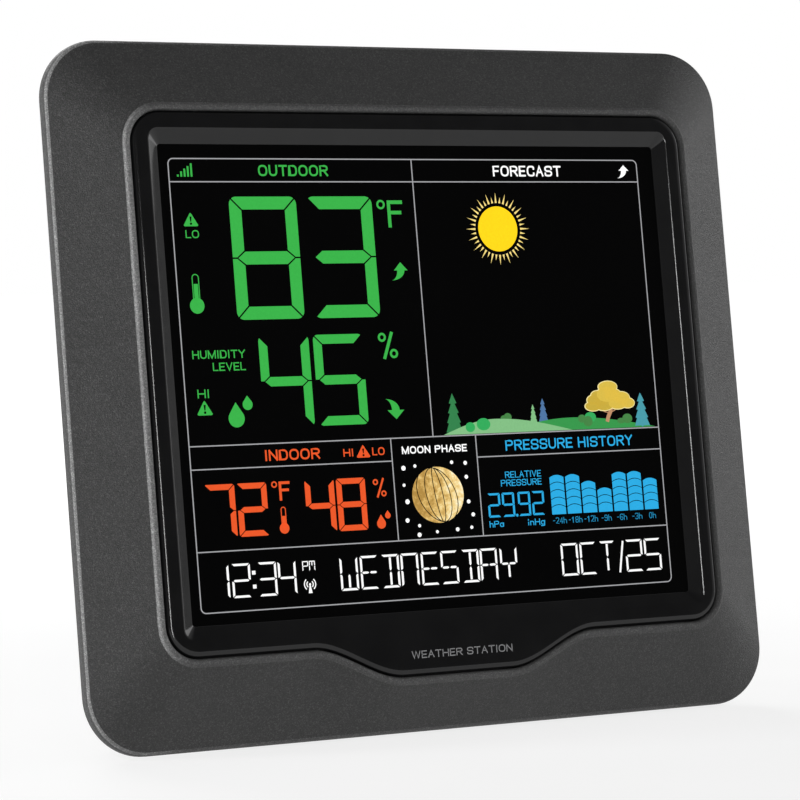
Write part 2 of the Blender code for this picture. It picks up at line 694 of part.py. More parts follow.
def make_buttons():
    """Six push buttons, each a cap, a collar that keeps it in and a stem that reaches its switch."""
    inner_back = CASE_DEPTH - COVER_WALL
    collar_top = inner_back - GAP
    collar_bottom = collar_top - 1.0 * MM
    collar_r = BUTTON_R + 1.3 * MM
    stem_r = 1.6 * MM
    origin = inner_back
    switch_back = BOARD[1] + GAP + SWITCH_H
    stem_tip = switch_back + GAP + BUTTON_TRAVEL
    cap_top = CASE_DEPTH + 0.7 * MM
    cap_edge = 0.5 * MM
    for number, (x, z) in enumerate(button_spots(), 1):
        profile = (
            (0, cap_top - origin),
            (BUTTON_R - cap_edge, cap_top - origin),
            (BUTTON_R, cap_top - cap_edge - origin),
            (BUTTON_R, collar_top - origin),
            (collar_r, collar_top - origin),
            (collar_r, collar_bottom - origin),
            (stem_r, collar_bottom - origin),
            (stem_r, stem_tip - origin),
            (0, stem_tip - origin),
        )
        button = turned(f"button_{number}", profile, "rubber", case)
        button.location = (x, origin, z)
        button.rotation_euler = (-math.pi / 2, 0, 0)
        make_switch(number, x, z, switch_back)


def make_switch(number, x, z, back):
    """A square switch on the board with a round plunger."""
    front = BOARD[1] + GAP
    half = 3 * MM
    plunger_r = 1.7 * MM
    plunger_l = 2.4 * MM
    body = box(((x - half, front, z - half), (x + half, back - 0.8 * MM, z + half)))
    switch = finish(f"tact_switch_{number}", body, "steel", case)
    plunger = rods("y", ((x, back - plunger_l / 2, z), plunger_r, plunger_l), steps=12)
    boolean(switch, "UNION", tool(f"switch_plunger_{number}", plunger, case))


def make_battery_door():
    low = (-DOOR_HALF_W, DOOR_FRONT, BAY_Z - DOOR_HALF_H)
    high = (DOOR_HALF_W, CASE_DEPTH, BAY_Z + DOOR_HALF_H)
    door = finish("battery_door", box((low, high)), "grey_plastic", case)
    rib_half = 8 * MM
    rib_h = 0.8 * MM
    rib_pitch = 2 * MM
    raised = 0.4 * MM
    ribs = []
    for i in range(4):
        z = BAY_Z + 10 * MM + i * rib_pitch
        ribs.append(((-rib_half, CASE_DEPTH - raised, z), (rib_half, CASE_DEPTH + raised, z + rib_h)))
    boolean(door, "UNION", tool("door_ribs", box(*ribs), case))


# --- Batteries, contacts and leads ---

def make_batteries():
    half = CELL_LENGTH / 2
    shoulder = half - 1.0 * MM
    nub_r = 1.9 * MM
    top_edge = 0.5 * MM
    foot_edge = 0.4 * MM
    nub = ((0, half), (nub_r, half), (nub_r, shoulder))
    can = ((CELL_R - top_edge, shoulder), (CELL_R, shoulder - top_edge), (CELL_R, -half + foot_edge))
    profile = (*nub, *can, (CELL_R - foot_edge, -half), (0, -half))
    for number in (1, 2, 3):
        cell = turned(f"battery_{number}", profile, "cell_jacket", case)
        cell.location = (0, CELL_DEPTH, BAY_Z + CELL_PITCH * (2 - number))
        plus_left = number != 2
        cell.rotation_euler = (0, -math.pi / 2 if plus_left else math.pi / 2, 0)


def make_contact(number, side, ends):
    """A contact plate on one side of the bay.

    ends lists (cell row, is plus); a single end also has a solder tab.
    """
    plate_out = BAY_HALF_W - GAP
    plate_in = plate_out - 0.5 * MM
    plate_front = BAY_FLOOR + 1 * MM
    plate_back = DOOR_FRONT - 0.9 * MM
    plate_half = 4.2 * MM
    sunk = 0.1 * MM
    rows = [BAY_Z + CELL_PITCH * row for row, _ in ends]
    near, far = sorted((side * plate_in, side * plate_out))
    plate = box(((near, plate_front, min(rows) - plate_half), (far, plate_back, max(rows) + plate_half)))
    contact = finish(f"battery_contact_{number}", plate, "steel", case)
    bumps = []
    for row, is_plus in ends:
        reach = 1.6 * MM if is_plus else 2.5 * MM
        radius = 1.6 * MM if is_plus else 3.0 * MM
        spot = (side * (plate_in - reach / 2 + sunk), CELL_DEPTH, BAY_Z + CELL_PITCH * row)
        bumps.append((spot, radius, reach + 2 * sunk))
    boolean(contact, "UNION", tool(f"contact_bumps_{number}", rods("x", *bumps, steps=12), case))
    if len(ends) == 1:
        near, far = sorted((side * (plate_in + sunk), side * (BAY_HALF_W + 2.4 * MM)))
        low = (near, CONTACT_DEPTH - TAB_HALF_Y, rows[0] - TAB_HALF_Z)
        tab = box((low, (far, CONTACT_DEPTH + TAB_HALF_Y, rows[0] + TAB_HALF_Z)))
        boolean(contact, "UNION", tool(f"contact_tab_{number}", tab, case))


def make_contacts_and_leads():
    make_contact(1, -1, [(1, True)])
    make_contact(2, 1, [(1, False), (0, True)])
    make_contact(3, -1, [(0, False), (-1, True)])
    make_contact(4, 1, [(-1, False)])
    for name, side, row, finish_name in (
        ("battery_lead_red", -1, 1, "red_wire"),
        ("battery_lead_black", 1, -1, "black_wire"),
    ):
        z = BAY_Z + CELL_PITCH * row
        path = [(side * out * MM, depth * MM, z - drop * MM) for out, depth, drop in LEAD_PATH]
        wire(name, path, 0.55 * MM, finish_name, case)


# --- Stand and feet ---

def in_world(depth, z):
    """World (y, z) of a point given in the case's frame by its depth and height."""
    back = depth - RIM_DEPTH
    up = z + CASE_H / 2
    return (
        back * math.cos(LEAN) + up * math.sin(LEAN) - SET_FORWARD,
        EDGE_CLEARANCE - back * math.sin(LEAN) + up * math.cos(LEAN),
    )


def foot_y():
    return in_world(FOOT_DEPTH, COVER_FOOT[2] + 1 * MM)[0]


def make_stand():
    """The leg hangs from its pegs; its rubber pad is cut level with the desk."""
    hinge = empty("stand_hinge", case, (0, HINGE_DEPTH, HINGE_Z), LEG_LEAN + LEAN)
    hinge_height = in_world(HINGE_DEPTH, HINGE_Z)[1]
    reach = hinge_height / math.cos(LEG_LEAN)
    tip = reach - PAD_H
    half = LEG_THICK / 2
    tip_r = 5 * MM
    side = [(-LEG_HALF_W, 0), (-LEG_TIP_HALF_W, -tip + tip_r)]
    for i in range(1, 6):
        angle = math.radians(180 + 90 * i / 5)
        x = -LEG_TIP_HALF_W + tip_r + tip_r * math.cos(angle)
        side.append((x, -tip + tip_r + tip_r * math.sin(angle)))
    points = side + [(-x, z) for x, z in reversed(side)]
    leg = finish("stand_leg", loft([(points, -half), (points, half)]), "grey_plastic", hinge)
    knuckle = rods("x", ((0, 0, 0), half, 2 * LEG_HALF_W), steps=20)
    boolean(leg, "UNION", tool("leg_knuckle", knuckle, hinge))
    pegs = rods("x", ((0, 0, 0), PEG_R, PEG_SPAN), steps=16)
    boolean(leg, "UNION", tool("leg_pegs", pegs, hinge))
    dish_half = 12 * MM
    dish_low = (-dish_half, half - 0.8 * MM, -tip + 8 * MM)
    dish = box((dish_low, (dish_half, half + 1 * MM, -tip + 22 * MM)))
    boolean(leg, "DIFFERENCE", tool("leg_dish", dish, hinge))
    pad_half = 16 * MM
    pad = box(((-pad_half, -half, -reach - 1 * MM), (pad_half, half, -tip - GAP / 3)))
    pad_obj = finish("stand_pad", pad, "rubber", hinge)
    desk = tool("desk_plane", box(((-CASE_W, -CASE_W, -0.1 * CASE_W), (CASE_W, CASE_W, 0))))
    boolean(pad_obj, "DIFFERENCE", desk)


def make_feet():
    """Two rubber feet pegged into the bottom of the rear cover, standing level on the desk."""
    foot_r = 4.5 * MM
    peg_r = 1.5 * MM
    peg_h = 2.6 * MM
    body_top = in_world(FOOT_DEPTH - foot_r, COVER_FOOT[2])[1] - 2 * GAP
    peg_top = body_top + peg_h
    profile = (
        (0, peg_top), (peg_r, peg_top), (peg_r, body_top), (foot_r - 0.3 * MM, body_top),
        (foot_r, body_top - 0.4 * MM), (foot_r, 0.6 * MM), (foot_r - 0.5 * MM, 0), (0, 0),
    )
    for name, side in (("foot_left", -1), ("foot_right", 1)):
        foot = turned(name, profile, "rubber")
        foot.location = (side * FOOT_X, foot_y(), 0)


def make_case_screws():
    profile = screw_profile(head_r=2.7 * MM, head_h=1.8 * MM, shaft_r=1.1 * MM, shaft_l=7.5 * MM)
    for number, (x, z) in enumerate(case_screw_spots(), 1):
        screw = turned(f"case_screw_{number}", profile, "black_steel", case, 12)
        screw.location = (x, WELL_FRONT + GAP, z)
        screw.rotation_euler = (-math.pi / 2, 0, 0)


clear_scene()
parts = new_collection("home_weather_station")
cutters = new_collection("cutters")
materials = {name: make_material(name) for name in COLOURS}
lean = empty("lean", None, (0, -SET_FORWARD, EDGE_CLEARANCE), -LEAN)
case = empty("case", lean, (0, -RIM_DEPTH, CASE_H / 2))
bpy.context.view_layer.update()
make_front_frame()
make_screen_surround()
make_display()
make_holder()
make_board()
make_aerial_rod()
make_buzzer()
make_jack()
make_rear_cover()
make_buttons()
make_battery_door()
make_batteries()
make_contacts_and_leads()
make_stand()
make_feet()
make_case_screws()
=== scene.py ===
"""The looks of the home weather station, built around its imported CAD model.

Shapes are given in millimetres in the case's own axes: x to the right, y back from the plane of the frame's
raised lip, z up from the middle of the case's height. CASE turns them into the leaning case.
"""

import json
import math

import bmesh
import bpy
from mathutils import Matrix, Vector


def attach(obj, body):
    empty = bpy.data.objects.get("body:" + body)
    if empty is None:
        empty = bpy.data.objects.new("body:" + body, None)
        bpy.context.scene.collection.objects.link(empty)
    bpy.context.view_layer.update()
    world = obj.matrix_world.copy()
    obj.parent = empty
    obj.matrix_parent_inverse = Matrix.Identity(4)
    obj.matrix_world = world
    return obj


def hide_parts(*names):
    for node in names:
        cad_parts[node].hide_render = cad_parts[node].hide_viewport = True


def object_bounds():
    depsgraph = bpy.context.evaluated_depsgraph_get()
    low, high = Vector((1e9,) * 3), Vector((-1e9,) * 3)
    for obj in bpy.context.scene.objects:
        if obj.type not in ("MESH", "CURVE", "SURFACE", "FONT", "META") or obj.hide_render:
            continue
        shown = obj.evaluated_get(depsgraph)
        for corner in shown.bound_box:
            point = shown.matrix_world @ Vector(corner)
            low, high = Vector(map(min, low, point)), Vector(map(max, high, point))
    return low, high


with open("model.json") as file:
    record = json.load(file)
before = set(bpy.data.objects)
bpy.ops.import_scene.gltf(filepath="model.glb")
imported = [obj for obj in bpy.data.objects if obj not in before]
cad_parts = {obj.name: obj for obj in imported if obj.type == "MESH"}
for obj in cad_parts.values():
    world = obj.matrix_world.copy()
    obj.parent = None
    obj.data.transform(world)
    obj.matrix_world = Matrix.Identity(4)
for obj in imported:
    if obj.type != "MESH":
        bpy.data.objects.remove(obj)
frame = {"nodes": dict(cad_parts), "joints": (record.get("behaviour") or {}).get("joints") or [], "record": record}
cad_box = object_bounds()
NODES = frame["nodes"]
MM = 0.001

# --- The case's axes and sizes, from the frame ---

BACK = Vector(next(j["axis"] for j in frame["joints"] if j["name"] == "battery_door_lift")).normalized()
LEAN = math.atan2(-BACK.z, BACK.y)
TURN = Matrix.Rotation(-LEAN, 4, "X")


def box_along(node, axes):
    """Lowest and highest corner of a CAD node, in metres along the given axes."""
    points = [axes.inverted() @ v.co for v in NODES[node].data.vertices]
    low = Vector([min(p[i] for p in points) for i in range(3)])
    high = Vector([max(p[i] for p in points) for i in range(3)])
    return low, high


front_low, front_high = box_along("front_frame", TURN)
CASE = TURN @ Matrix.Translation((0, front_low.y, (front_low.z + front_high.z) / 2))


def case_box(node):
    """Lowest and highest corner of a CAD node, in millimetres in the case's axes."""
    low, high = box_along(node, CASE)
    return low / MM, high / MM


# Rounded rectangles are given as (half width, top, bottom, corner radius).
FRONT_LOW, FRONT_HIGH = case_box("front_frame")
OUTER = (FRONT_HIGH.x, FRONT_HIGH.z, FRONT_LOW.z, 14.5)
RIM_BACK = FRONT_HIGH.y
LOBE_DROP = 8.0
LOBE_INNER = 15.0
LOBE_OUTER = 39.0
FLANGE = 1.8  # the surround's flange is this much wider than the frame's lip
SURROUND_LOW, SURROUND_HIGH = case_box("screen_surround")
LIP = (SURROUND_HIGH.x - FLANGE, SURROUND_HIGH.z - FLANGE, SURROUND_LOW.z + FLANGE + LOBE_DROP, 8.0)
WINDOW_REBATE = 2.7  # how far the window runs past the opening on every side
WINDOW_LOW, WINDOW_HIGH = case_box("display_window")
OPENING = (WINDOW_HIGH.x - WINDOW_REBATE, WINDOW_HIGH.z - WINDOW_REBATE, WINDOW_LOW.z + WINDOW_REBATE, 0.8)
BEVEL_EDGE = (OPENING[0] + 3.1, OPENING[1] + 3.4, OPENING[2] - 3.1, 2.6)
CASE_BACK = case_box("rear_cover")[1].y

GREEN = (0.043, 0.462, 0.069)
ORANGE = (0.88, 0.102, 0.022)
BLUE = (0.023, 0.402, 0.760)
WHITE = (0.93, 0.93, 0.93)
LINE_GREY = (0.34, 0.34, 0.355)


# --- Materials ---

class Nodes:
    """Short calls that add nodes to one material or world and join them."""

    def __init__(self, tree, coordinates):
        self.tree = tree
        self.coordinates = self.add("ShaderNodeTexCoord").outputs[coordinates]

    def put(self, socket, value):
        """Feeds a socket from another node's output, or sets its plain value."""
        if isinstance(value, bpy.types.NodeSocket):
            self.tree.links.new(value, socket)
        else:
            socket.default_value = value

    def add(self, kind, inputs=None, **settings):
        """A new node with its settings, and with inputs by name or number."""
        node = self.tree.nodes.new(kind)
        for key, value in settings.items():
            setattr(node, key, value)
        for key, value in (inputs or {}).items():
            self.put(node.inputs[key], value)
        return node

    def noise(self, size_mm, detail, roughness=0.55):
        """A noise value between 0 and 1, with blobs of about size_mm."""
        scale = 1 / (size_mm * MM)
        inputs = {"Scale": scale, "Detail": detail, "Roughness": roughness, "Vector": self.coordinates}
        return self.add("ShaderNodeTexNoise", inputs).outputs["Fac"]

    def spread(self, value, from_range, to_range):
        """A value moved in a straight line from one range to another."""
        inputs = {"Value": value, "From Min": from_range[0], "From Max": from_range[1],
                  "To Min": to_range[0], "To Max": to_range[1]}
        return self.add("ShaderNodeMapRange", inputs).outputs["Result"]

    def ramp(self, value, *stops):
        """A colour ramp through (position, colour) stops."""
        node = self.add("ShaderNodeValToRGB", {"Fac": value})
        elements = node.color_ramp.elements
        while len(elements) < len(stops):
            elements.new(0.5)
        for element, (position, colour) in zip(elements, stops):
            element.position = position
            element.color = (*colour, 1.0)
        return node.outputs["Color"]

    def cloud(self, size_mm, detail, low, high):
        """A colour that drifts between low and high in blobs of about size_mm."""
        return self.ramp(self.noise(size_mm, detail), (0.3, low), (0.7, high))

    def product(self, first, second):
        return self.add("ShaderNodeMath", {0: first, 1: second}, operation="MULTIPLY").outputs["Value"]

    def across(self):
        """How far right a point is: x in metres, or from -1 to 1 for the world."""
        return self.add("ShaderNodeSeparateXYZ", {"Vector": self.coordinates}).outputs["X"]


class Shader(Nodes):
    """A node material with one Principled shader."""

    def __init__(self, name, **values):
        self.material = bpy.data.materials.new(name)
        self.material.use_nodes = True
        super().__init__(self.material.node_tree, "Object")
        self.surface = self.tree.nodes["Principled BSDF"]
        self.set(**values)

    def set(self, **values):
        """Feeds the Principled shader's inputs, named with _ in place of each space."""
        for key, value in values.items():
            self.put(self.surface.inputs[key.replace("_", " ")], value)

    def bump(self, height, depth_mm):
        node = self.add("ShaderNodeBump", {"Distance": depth_mm * MM, "Height": height})
        self.set(Normal=node.outputs["Normal"])


def scaled(colour, share):
    return tuple(min(1.0, c * share) for c in colour)


def grey(level):
    return (level, level, level)


def grained(name, colour, roughness, grain_mm, depth_mm, contrast=0.15, metallic=0.0, specular=0.5):
    """Moulded plastic, rubber or metal: fine grain, faint cloudy colour and an uneven sheen."""
    shader = Shader(name, Metallic=metallic, Specular_IOR_Level=specular)
    cloud = shader.noise(grain_mm * 40, 4.0)
    grain = shader.noise(grain_mm, 2.0)
    blend = shader.add("ShaderNodeMix", {"Factor": 0.6, "A": cloud, "B": grain}, data_type="FLOAT")
    tones = ((0.35, scaled(colour, 1 - contrast)), (0.65, scaled(colour, 1 + contrast)))
    sheen = shader.spread(cloud, (0.3, 0.7), (roughness - 0.05, roughness + 0.05))
    shader.set(Base_Color=shader.ramp(blend.outputs["Result"], *tones), Roughness=sheen)
    shader.bump(grain, depth_mm)
    return shader.material


def frame_paint(name, painted_light_sweep=((0.0, 1.0), (1.0, 1.0))):
    """Dark grey soft paint with a fine sparkle.
    The second argument lists (share of the case's width, lightness) of painted light across the case.
    """
    shader = Shader(name, Specular_IOR_Level=0.45)
    cells = shader.add("ShaderNodeTexVoronoi", {"Scale": 1 / (0.22 * MM), "Vector": shader.coordinates})
    fleck = shader.add("ShaderNodeSeparateColor", {"Color": cells.outputs["Color"]})
    levels = ((0.0, 0.045), (0.5, 0.059), (0.85, 0.082), (1.0, 0.125))
    shade = shader.ramp(fleck.outputs["Red"], *((place, grey(level)) for place, level in levels))
    cloud = shader.cloud(14, 3.0, grey(0.93), grey(1.05))
    half_width = OUTER[0] * MM
    along = shader.spread(shader.across(), (-half_width, half_width), (0.0, 1.0))
    # painted light: the sweep lightens or darkens the paint from the case's left to its right
    brightest = max(level for _, level in painted_light_sweep)
    light = shader.ramp(along, *((place, grey(level / brightest)) for place, level in painted_light_sweep))
    steps = (("MULTIPLY", {1: cloud}), ("MULTIPLY", {1: light}), ("SCALE", {"Scale": brightest}))
    for step, inputs in steps:
        mixer = shader.add("ShaderNodeVectorMath", {0: shade, **inputs}, operation=step)
        shade = mixer.outputs["Vector"]
    shader.set(Base_Color=shade, Roughness=shader.spread(fleck.outputs["Green"], (0, 1), (0.42, 0.56)))
    shader.bump(shader.noise(0.26, 2.0), 0.22)
    return shader.material


def gloss_black():
    """Polished black plastic with the faint waviness of a moulding."""
    shader = Shader("surround_gloss", Specular_IOR_Level=0.5)
    shader.set(Base_Color=shader.cloud(9, 3.0, (0.006, 0.006, 0.0065), (0.010, 0.010, 0.0105)))
    shader.set(Roughness=shader.spread(shader.noise(3, 4.0), (0.3, 0.7), (0.09, 0.13)))
    shader.bump(shader.noise(6, 1.0), 0.004)
    return shader.material


def glowing(name, base, tint, strength):
    """Printed film with light behind it. tint takes the shader and gives the colour of the light."""
    shader = Shader(name, Roughness=0.5, Specular_IOR_Level=0.1, Base_Color=(*base, 1.0))
    shader.set(Emission_Color=tint(shader), Emission_Strength=strength)
    return shader.material


def lit_film(name, colour, strength=1.0):
    """One colour of the display, with the panel's fine dot grid just showing."""
    def tint(shader):
        return shader.cloud(0.5, 2.0, scaled(colour, 0.95), scaled(colour, 1.03))
    return glowing(name, scaled(colour, 0.3), tint, strength)


def moon_film():
    """The moon's printed disc: mottled gold, paler towards its right."""
    def tint(shader):
        rise = {0: shader.across(), 1: 22.0, 2: shader.noise(2.0, 7.0, 0.68)}
        level = shader.add("ShaderNodeMath", rise, operation="MULTIPLY_ADD").outputs["Value"]
        return shader.ramp(
            level, (0.36, (0.36, 0.20, 0.04)), (0.49, (0.62, 0.40, 0.12)), (0.60, (0.84, 0.64, 0.27)),
            (0.72, (0.98, 0.90, 0.64)),
        )
    return glowing("moon_film", (0.2, 0.13, 0.04), tint, 1.0)


def window_clear():
    """The clear window: it shows what is behind it, under a faint painted sheen, an even glow in place of its
    reflection that grows at a slant.
    """
    shader = Shader("window_clear")
    clear = shader.add("ShaderNodeBsdfTransparent").outputs["BSDF"]
    # painted sheen: a glow in place of the window's reflection, mixed in more where it is seen at a slant
    sheen = {"Color": shader.cloud(30, 2.0, grey(0.85), grey(1.0)), "Strength": 0.3}
    painted_sheen = shader.add("ShaderNodeEmission", sheen).outputs["Emission"]
    facing = shader.add("ShaderNodeFresnel", {"IOR": 1.10}).outputs["Fac"]
    blend = shader.add("ShaderNodeMixShader", {"Fac": facing, 1: clear, 2: painted_sheen})
    shader.put(shader.tree.nodes["Material Output"].inputs["Surface"], blend.outputs["Shader"])
    return shader.material


def jacket():
    """A plain dark blue foil jacket."""
    shader = Shader("cell_wrap", Metallic=0.6)
    shader.set(Base_Color=shader.cloud(3, 3.0, (0.020, 0.055, 0.075), (0.030, 0.075, 0.100)))
    shader.set(Roughness=shader.spread(shader.noise(3, 3.0), (0.3, 0.7), (0.28, 0.4)))
    shader.bump(shader.noise(0.8, 2.0), 0.01)
    return shader.material


def circuit_board():
    """Green solder mask over faint copper tracks."""
    shader = Shader("board_mask", Roughness=0.35)
    tracks = shader.add("ShaderNodeTexBrick", {
        "Scale": 150.0, "Vector": shader.coordinates, "Color1": (0.008, 0.10, 0.040, 1),
        "Color2": (0.010, 0.12, 0.048, 1), "Mortar": (0.020, 0.20, 0.085, 1),
    })
    shader.set(Base_Color=tracks.outputs["Color"])
    shader.bump(tracks.outputs["Fac"], 0.02)
    return shader.material


PAINT = frame_paint("frame_paint")
# painted highlight: the frame's paint made lighter for the lip and outer edge, most at the left, a little darker
# at the far right
LIP_HIGHLIGHT_PAINT = frame_paint("lip_painted_highlight", ((0.085, 4.4), (0.12, 1.9), (0.88, 1.6), (0.92, 0.8)))
GLOSS = gloss_black()
REAR_PLASTIC = grained("rear_plastic", (0.032, 0.032, 0.034), 0.5, 0.45, 0.06)
RUBBER = grained("foot_and_button_rubber", (0.020, 0.020, 0.021), 0.62, 0.25, 0.01, 0.12, specular=0.35)
PLATED = grained("nickel_plate", (0.62, 0.60, 0.56), 0.24, 0.4, 0.004, 0.08, metallic=1.0)
BLACK_STEEL = grained("black_oxide_steel", (0.045, 0.045, 0.048), 0.38, 0.3, 0.006, metallic=0.9)
JACKET = jacket()
CELL_BAND = grained("cell_band", (0.42, 0.43, 0.44), 0.35, 0.8, 0.01, 0.06, metallic=0.4)
DARK_FILM = grained("polariser_film", (0.0010, 0.0010, 0.0011), 0.5, 0.4, 0.002, 0.08, specular=0.0)
SLOT_MATERIALS = {
    "grey_plastic": REAR_PLASTIC,
    "gloss_black": GLOSS,
    "clear_plastic": grained("guide_acrylic", (0.80, 0.84, 0.84), 0.08, 2.0, 0.002, 0.03),
    "lcd_glass": grained("panel_glass", (0.050, 0.056, 0.056), 0.06, 3.0, 0.001, 0.05),
    "dark_film": DARK_FILM,
    "white_film": grained("white_film", (0.82, 0.82, 0.80), 0.6, 0.5, 0.004, 0.04),
    "white_plastic": grained("white_plastic", (0.70, 0.70, 0.68), 0.5, 0.4, 0.01, 0.05),
    "connector_rubber": grained("connector_rubber", (0.55, 0.22, 0.22), 0.6, 0.3, 0.02, 0.3),
    "board": circuit_board(),
    "chip_black": grained("chip_black", (0.014, 0.014, 0.015), 0.5, 0.2, 0.008),
    "can_steel": grained("tinned_steel", (0.55, 0.55, 0.56), 0.3, 0.4, 0.004, 0.08, metallic=1.0),
    "sensor_white": grained("sensor_white", (0.78, 0.78, 0.76), 0.5, 0.3, 0.008, 0.05),
    "black_wire": grained("black_wire", (0.018, 0.018, 0.019), 0.5, 0.4, 0.01),
    "red_wire": grained("red_wire", (0.50, 0.02, 0.02), 0.5, 0.4, 0.01),
    "ferrite": grained("ferrite", (0.045, 0.042, 0.042), 0.55, 0.3, 0.02, 0.2),
    "copper": grained("enamelled_copper", (0.62, 0.26, 0.11), 0.3, 0.25, 0.03, 0.2, metallic=1.0),
    "button_rubber": RUBBER,
    "cell_jacket": JACKET,
    "contact_steel": PLATED,
    "foot_rubber": RUBBER,
    "black_screw": BLACK_STEEL,
    "steel_screw": PLATED,
}


# --- Pieces ---

def add_object(name, data):
    obj = bpy.data.objects.new(name, data)
    bpy.context.scene.collection.objects.link(obj)
    return obj


def mesh_object(name, bm, materials):
    mesh = bpy.data.meshes.new(name)
    bm.to_mesh(mesh)
    bm.free()
    for material in materials:
        mesh.materials.append(material)
    return add_object(name, mesh)


def piece(name, bm, materials, replaces=(), smooth_degrees=None):
    """Turns millimetre geometry into a piece that rides on the case."""
    bmesh.ops.scale(bm, vec=(MM, MM, MM), verts=bm.verts)
    bmesh.ops.recalc_face_normals(bm, faces=bm.faces)
    obj = mesh_object(name, bm, materials)
    if smooth_degrees:
        obj.data.shade_smooth()
        obj.data.set_sharp_from_angle(angle=math.radians(smooth_degrees))
    obj.matrix_world = CASE
    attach(obj, "case")
    if replaces:
        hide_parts(*replaces)


def polar(x, z, radius, degrees, squash=1.0):
    """The point at an angle on a circle, or on an oval squashed in z."""
    angle = math.radians(degrees)
    return (x + radius * math.cos(angle), z + squash * radius * math.sin(angle))


def arc_points(x, z, radius, start, end, steps, squash=1.0):
    """Points on a circle at even steps from start to end, in degrees. Both ends are given."""
    return [polar(x, z, radius, start + (end - start) * i / steps, squash) for i in range(steps + 1)]


def circle_points(x, z, radius, steps, squash=1.0):
    return arc_points(x, z, radius, 0, 360, steps, squash)[:-1]


def grown(shape, offset):
    half_w, top, bottom, radius = shape
    return (half_w + offset, top + offset, bottom - offset, max(0.05, radius + offset))


def lobe(x):
    """How far the lobe drops below the bottom edge at x."""
    t = min(1.0, max(0.0, (LOBE_OUTER - abs(x)) / (LOBE_OUTER - LOBE_INNER)))
    return LOBE_DROP * t * t * (3 - 2 * t)


CORNER_STEPS = 18
LOBE_STEPS = 64
SOFT_STEPS = 5


def outline(shape, lobed):
    """Points (x, z) round a rounded rectangle whose bottom edge dips by lobed times the lobe."""
    half_w, top, bottom, radius = shape
    points = []
    for i in range(LOBE_STEPS + 1):
        x = LOBE_OUTER * (2 * i / LOBE_STEPS - 1)
        points.append((x, bottom - lobed * lobe(x)))
    low, high = bottom + radius, top - radius
    for side, z, start in ((1, low, -90), (1, high, 0), (-1, high, 90), (-1, low, 180)):
        points += arc_points(side * (half_w - radius), z, radius, start, start + 90, CORNER_STEPS)
    return points


def quadratic(start, control, end, steps):
    """Points along a curve from start to end that leans towards control."""
    shares = [k / steps for k in range(steps + 1)]
    return [start * (1 - t) ** 2 + control * (2 * t * (1 - t)) + end * t ** 2 for t in shares]


def softened(controls):
    """A closed run of (point, reach). Each corner with a reach becomes a curve that starts that far off."""
    run = []
    for i, (point, reach) in enumerate(controls):
        if not reach:
            run.append(point)
            continue
        ends = []
        for other in (controls[i - 1][0], controls[(i + 1) % len(controls)][0]):
            away = other - point
            ends.append(point + away * min(0.48, reach / max(1e-6, away.length)))
        run += quadratic(ends[0], point, ends[1], SOFT_STEPS)
    return run


def skin(bm, lines, closed):
    """Joins each line of vertices to the next, and the last to the first, with caps on open lines.

    The faces come with their places along the lines.
    """
    count = len(lines[0])
    made = []
    for line, other in zip(lines, lines[1:] + lines[:1]):
        for k in range(count if closed else count - 1):
            m = (k + 1) % count
            made.append((k, bm.faces.new((line[k], line[m], other[m], other[k]))))
    if not closed:
        made += [(end, bm.faces.new([line[end] for line in lines])) for end in (0, -1)]
    return made


def ring_loft(rings, highlight_rings=()):
    """A closed band skinned over rings.

    Each ring is a rounded rectangle, how far it is grown, 1 where it follows the lobe, its depth, and how
    far from it the band starts to turn. The last argument lists (first, last) rings whose bands take the
    second material, the painted highlight.
    """
    bm = bmesh.new()
    loops = [outline(grown(shape, growth), lobed) for shape, growth, lobed, _, _ in rings]
    lines = []
    for j in range(len(loops[0])):
        controls = []
        for loop, (*_, depth, reach) in zip(loops, rings):
            controls.append((Vector((loop[j][0], depth, loop[j][1])), reach))
        lines.append([bm.verts.new(p) for p in softened(controls)])
    # bands between the listed rings take the second material, the painted highlight
    highlighted = set()
    for first, last in highlight_rings:
        highlighted.update(range(first * (SOFT_STEPS + 1), last * (SOFT_STEPS + 1) + SOFT_STEPS))
    for k, face in skin(bm, lines, True):
        face.material_index = int(k in highlighted)
    return bm


FRAME_RINGS = (
    (LIP, 0.0, 1, 0.8, 0.15), (LIP, 0.3, 1, 0.12, 0.35), (LIP, 0.9, 1, 0.0, 0.4), (LIP, 1.5, 1, 0.14, 0.35),
    (LIP, 1.8, 1, 0.62, 0.25), (OUTER, -0.5, 0, 8.3, 0.5), (OUTER, 0.0, 0, 9.3, 0.7),
    (OUTER, 0.0, 0, RIM_BACK, 0.25), (OUTER, -2.5, 0, RIM_BACK, 0.25), (OUTER, -2.5, 0, 9.5, 0),
    (LIP, 2.1, 1, 2.9, 0), (LIP, 0.0, 1, 2.9, 0),
)
SURROUND_RINGS = (
    (LIP, -0.3, 1, 0.9, 0.2), (LIP, -0.65, 1, 0.25, 0.35), (LIP, -1.5, 1, 0.03, 0.4),
    (BEVEL_EDGE, 0.20, 0, 0.0, 0.08), (BEVEL_EDGE, -0.15, 0, 0.13, 0.08), (OPENING, 0.0, 0, 2.1, 0.15),
    (OPENING, 0.0, 0, 2.6, 0.1), (OPENING, 3.0, 0, 2.6, 0), (OPENING, 3.0, 0, 4.0, 0),
    (LIP, FLANGE, 1, 4.0, 0), (LIP, FLANGE, 1, 3.2, 0), (LIP, -0.3, 1, 3.2, 0),
)


def make_shells():
    """The frame, with a painted highlight on its lip and its outer edge, and the glossy surround inside it."""
    # rings 0 to 4 make the lip and ring 5 the outer edge: these take the painted highlight
    shell = ring_loft(FRAME_RINGS, ((0, 4), (5, 5)))
    piece("front_frame_shell", shell, [PAINT, LIP_HIGHLIGHT_PAINT], ["front_frame"], 40)
    shell = ring_loft(SURROUND_RINGS)
    piece("screen_surround_shell", shell, [GLOSS], ["screen_surround"], 40)


# --- Battery cells, contacts and button rims ---

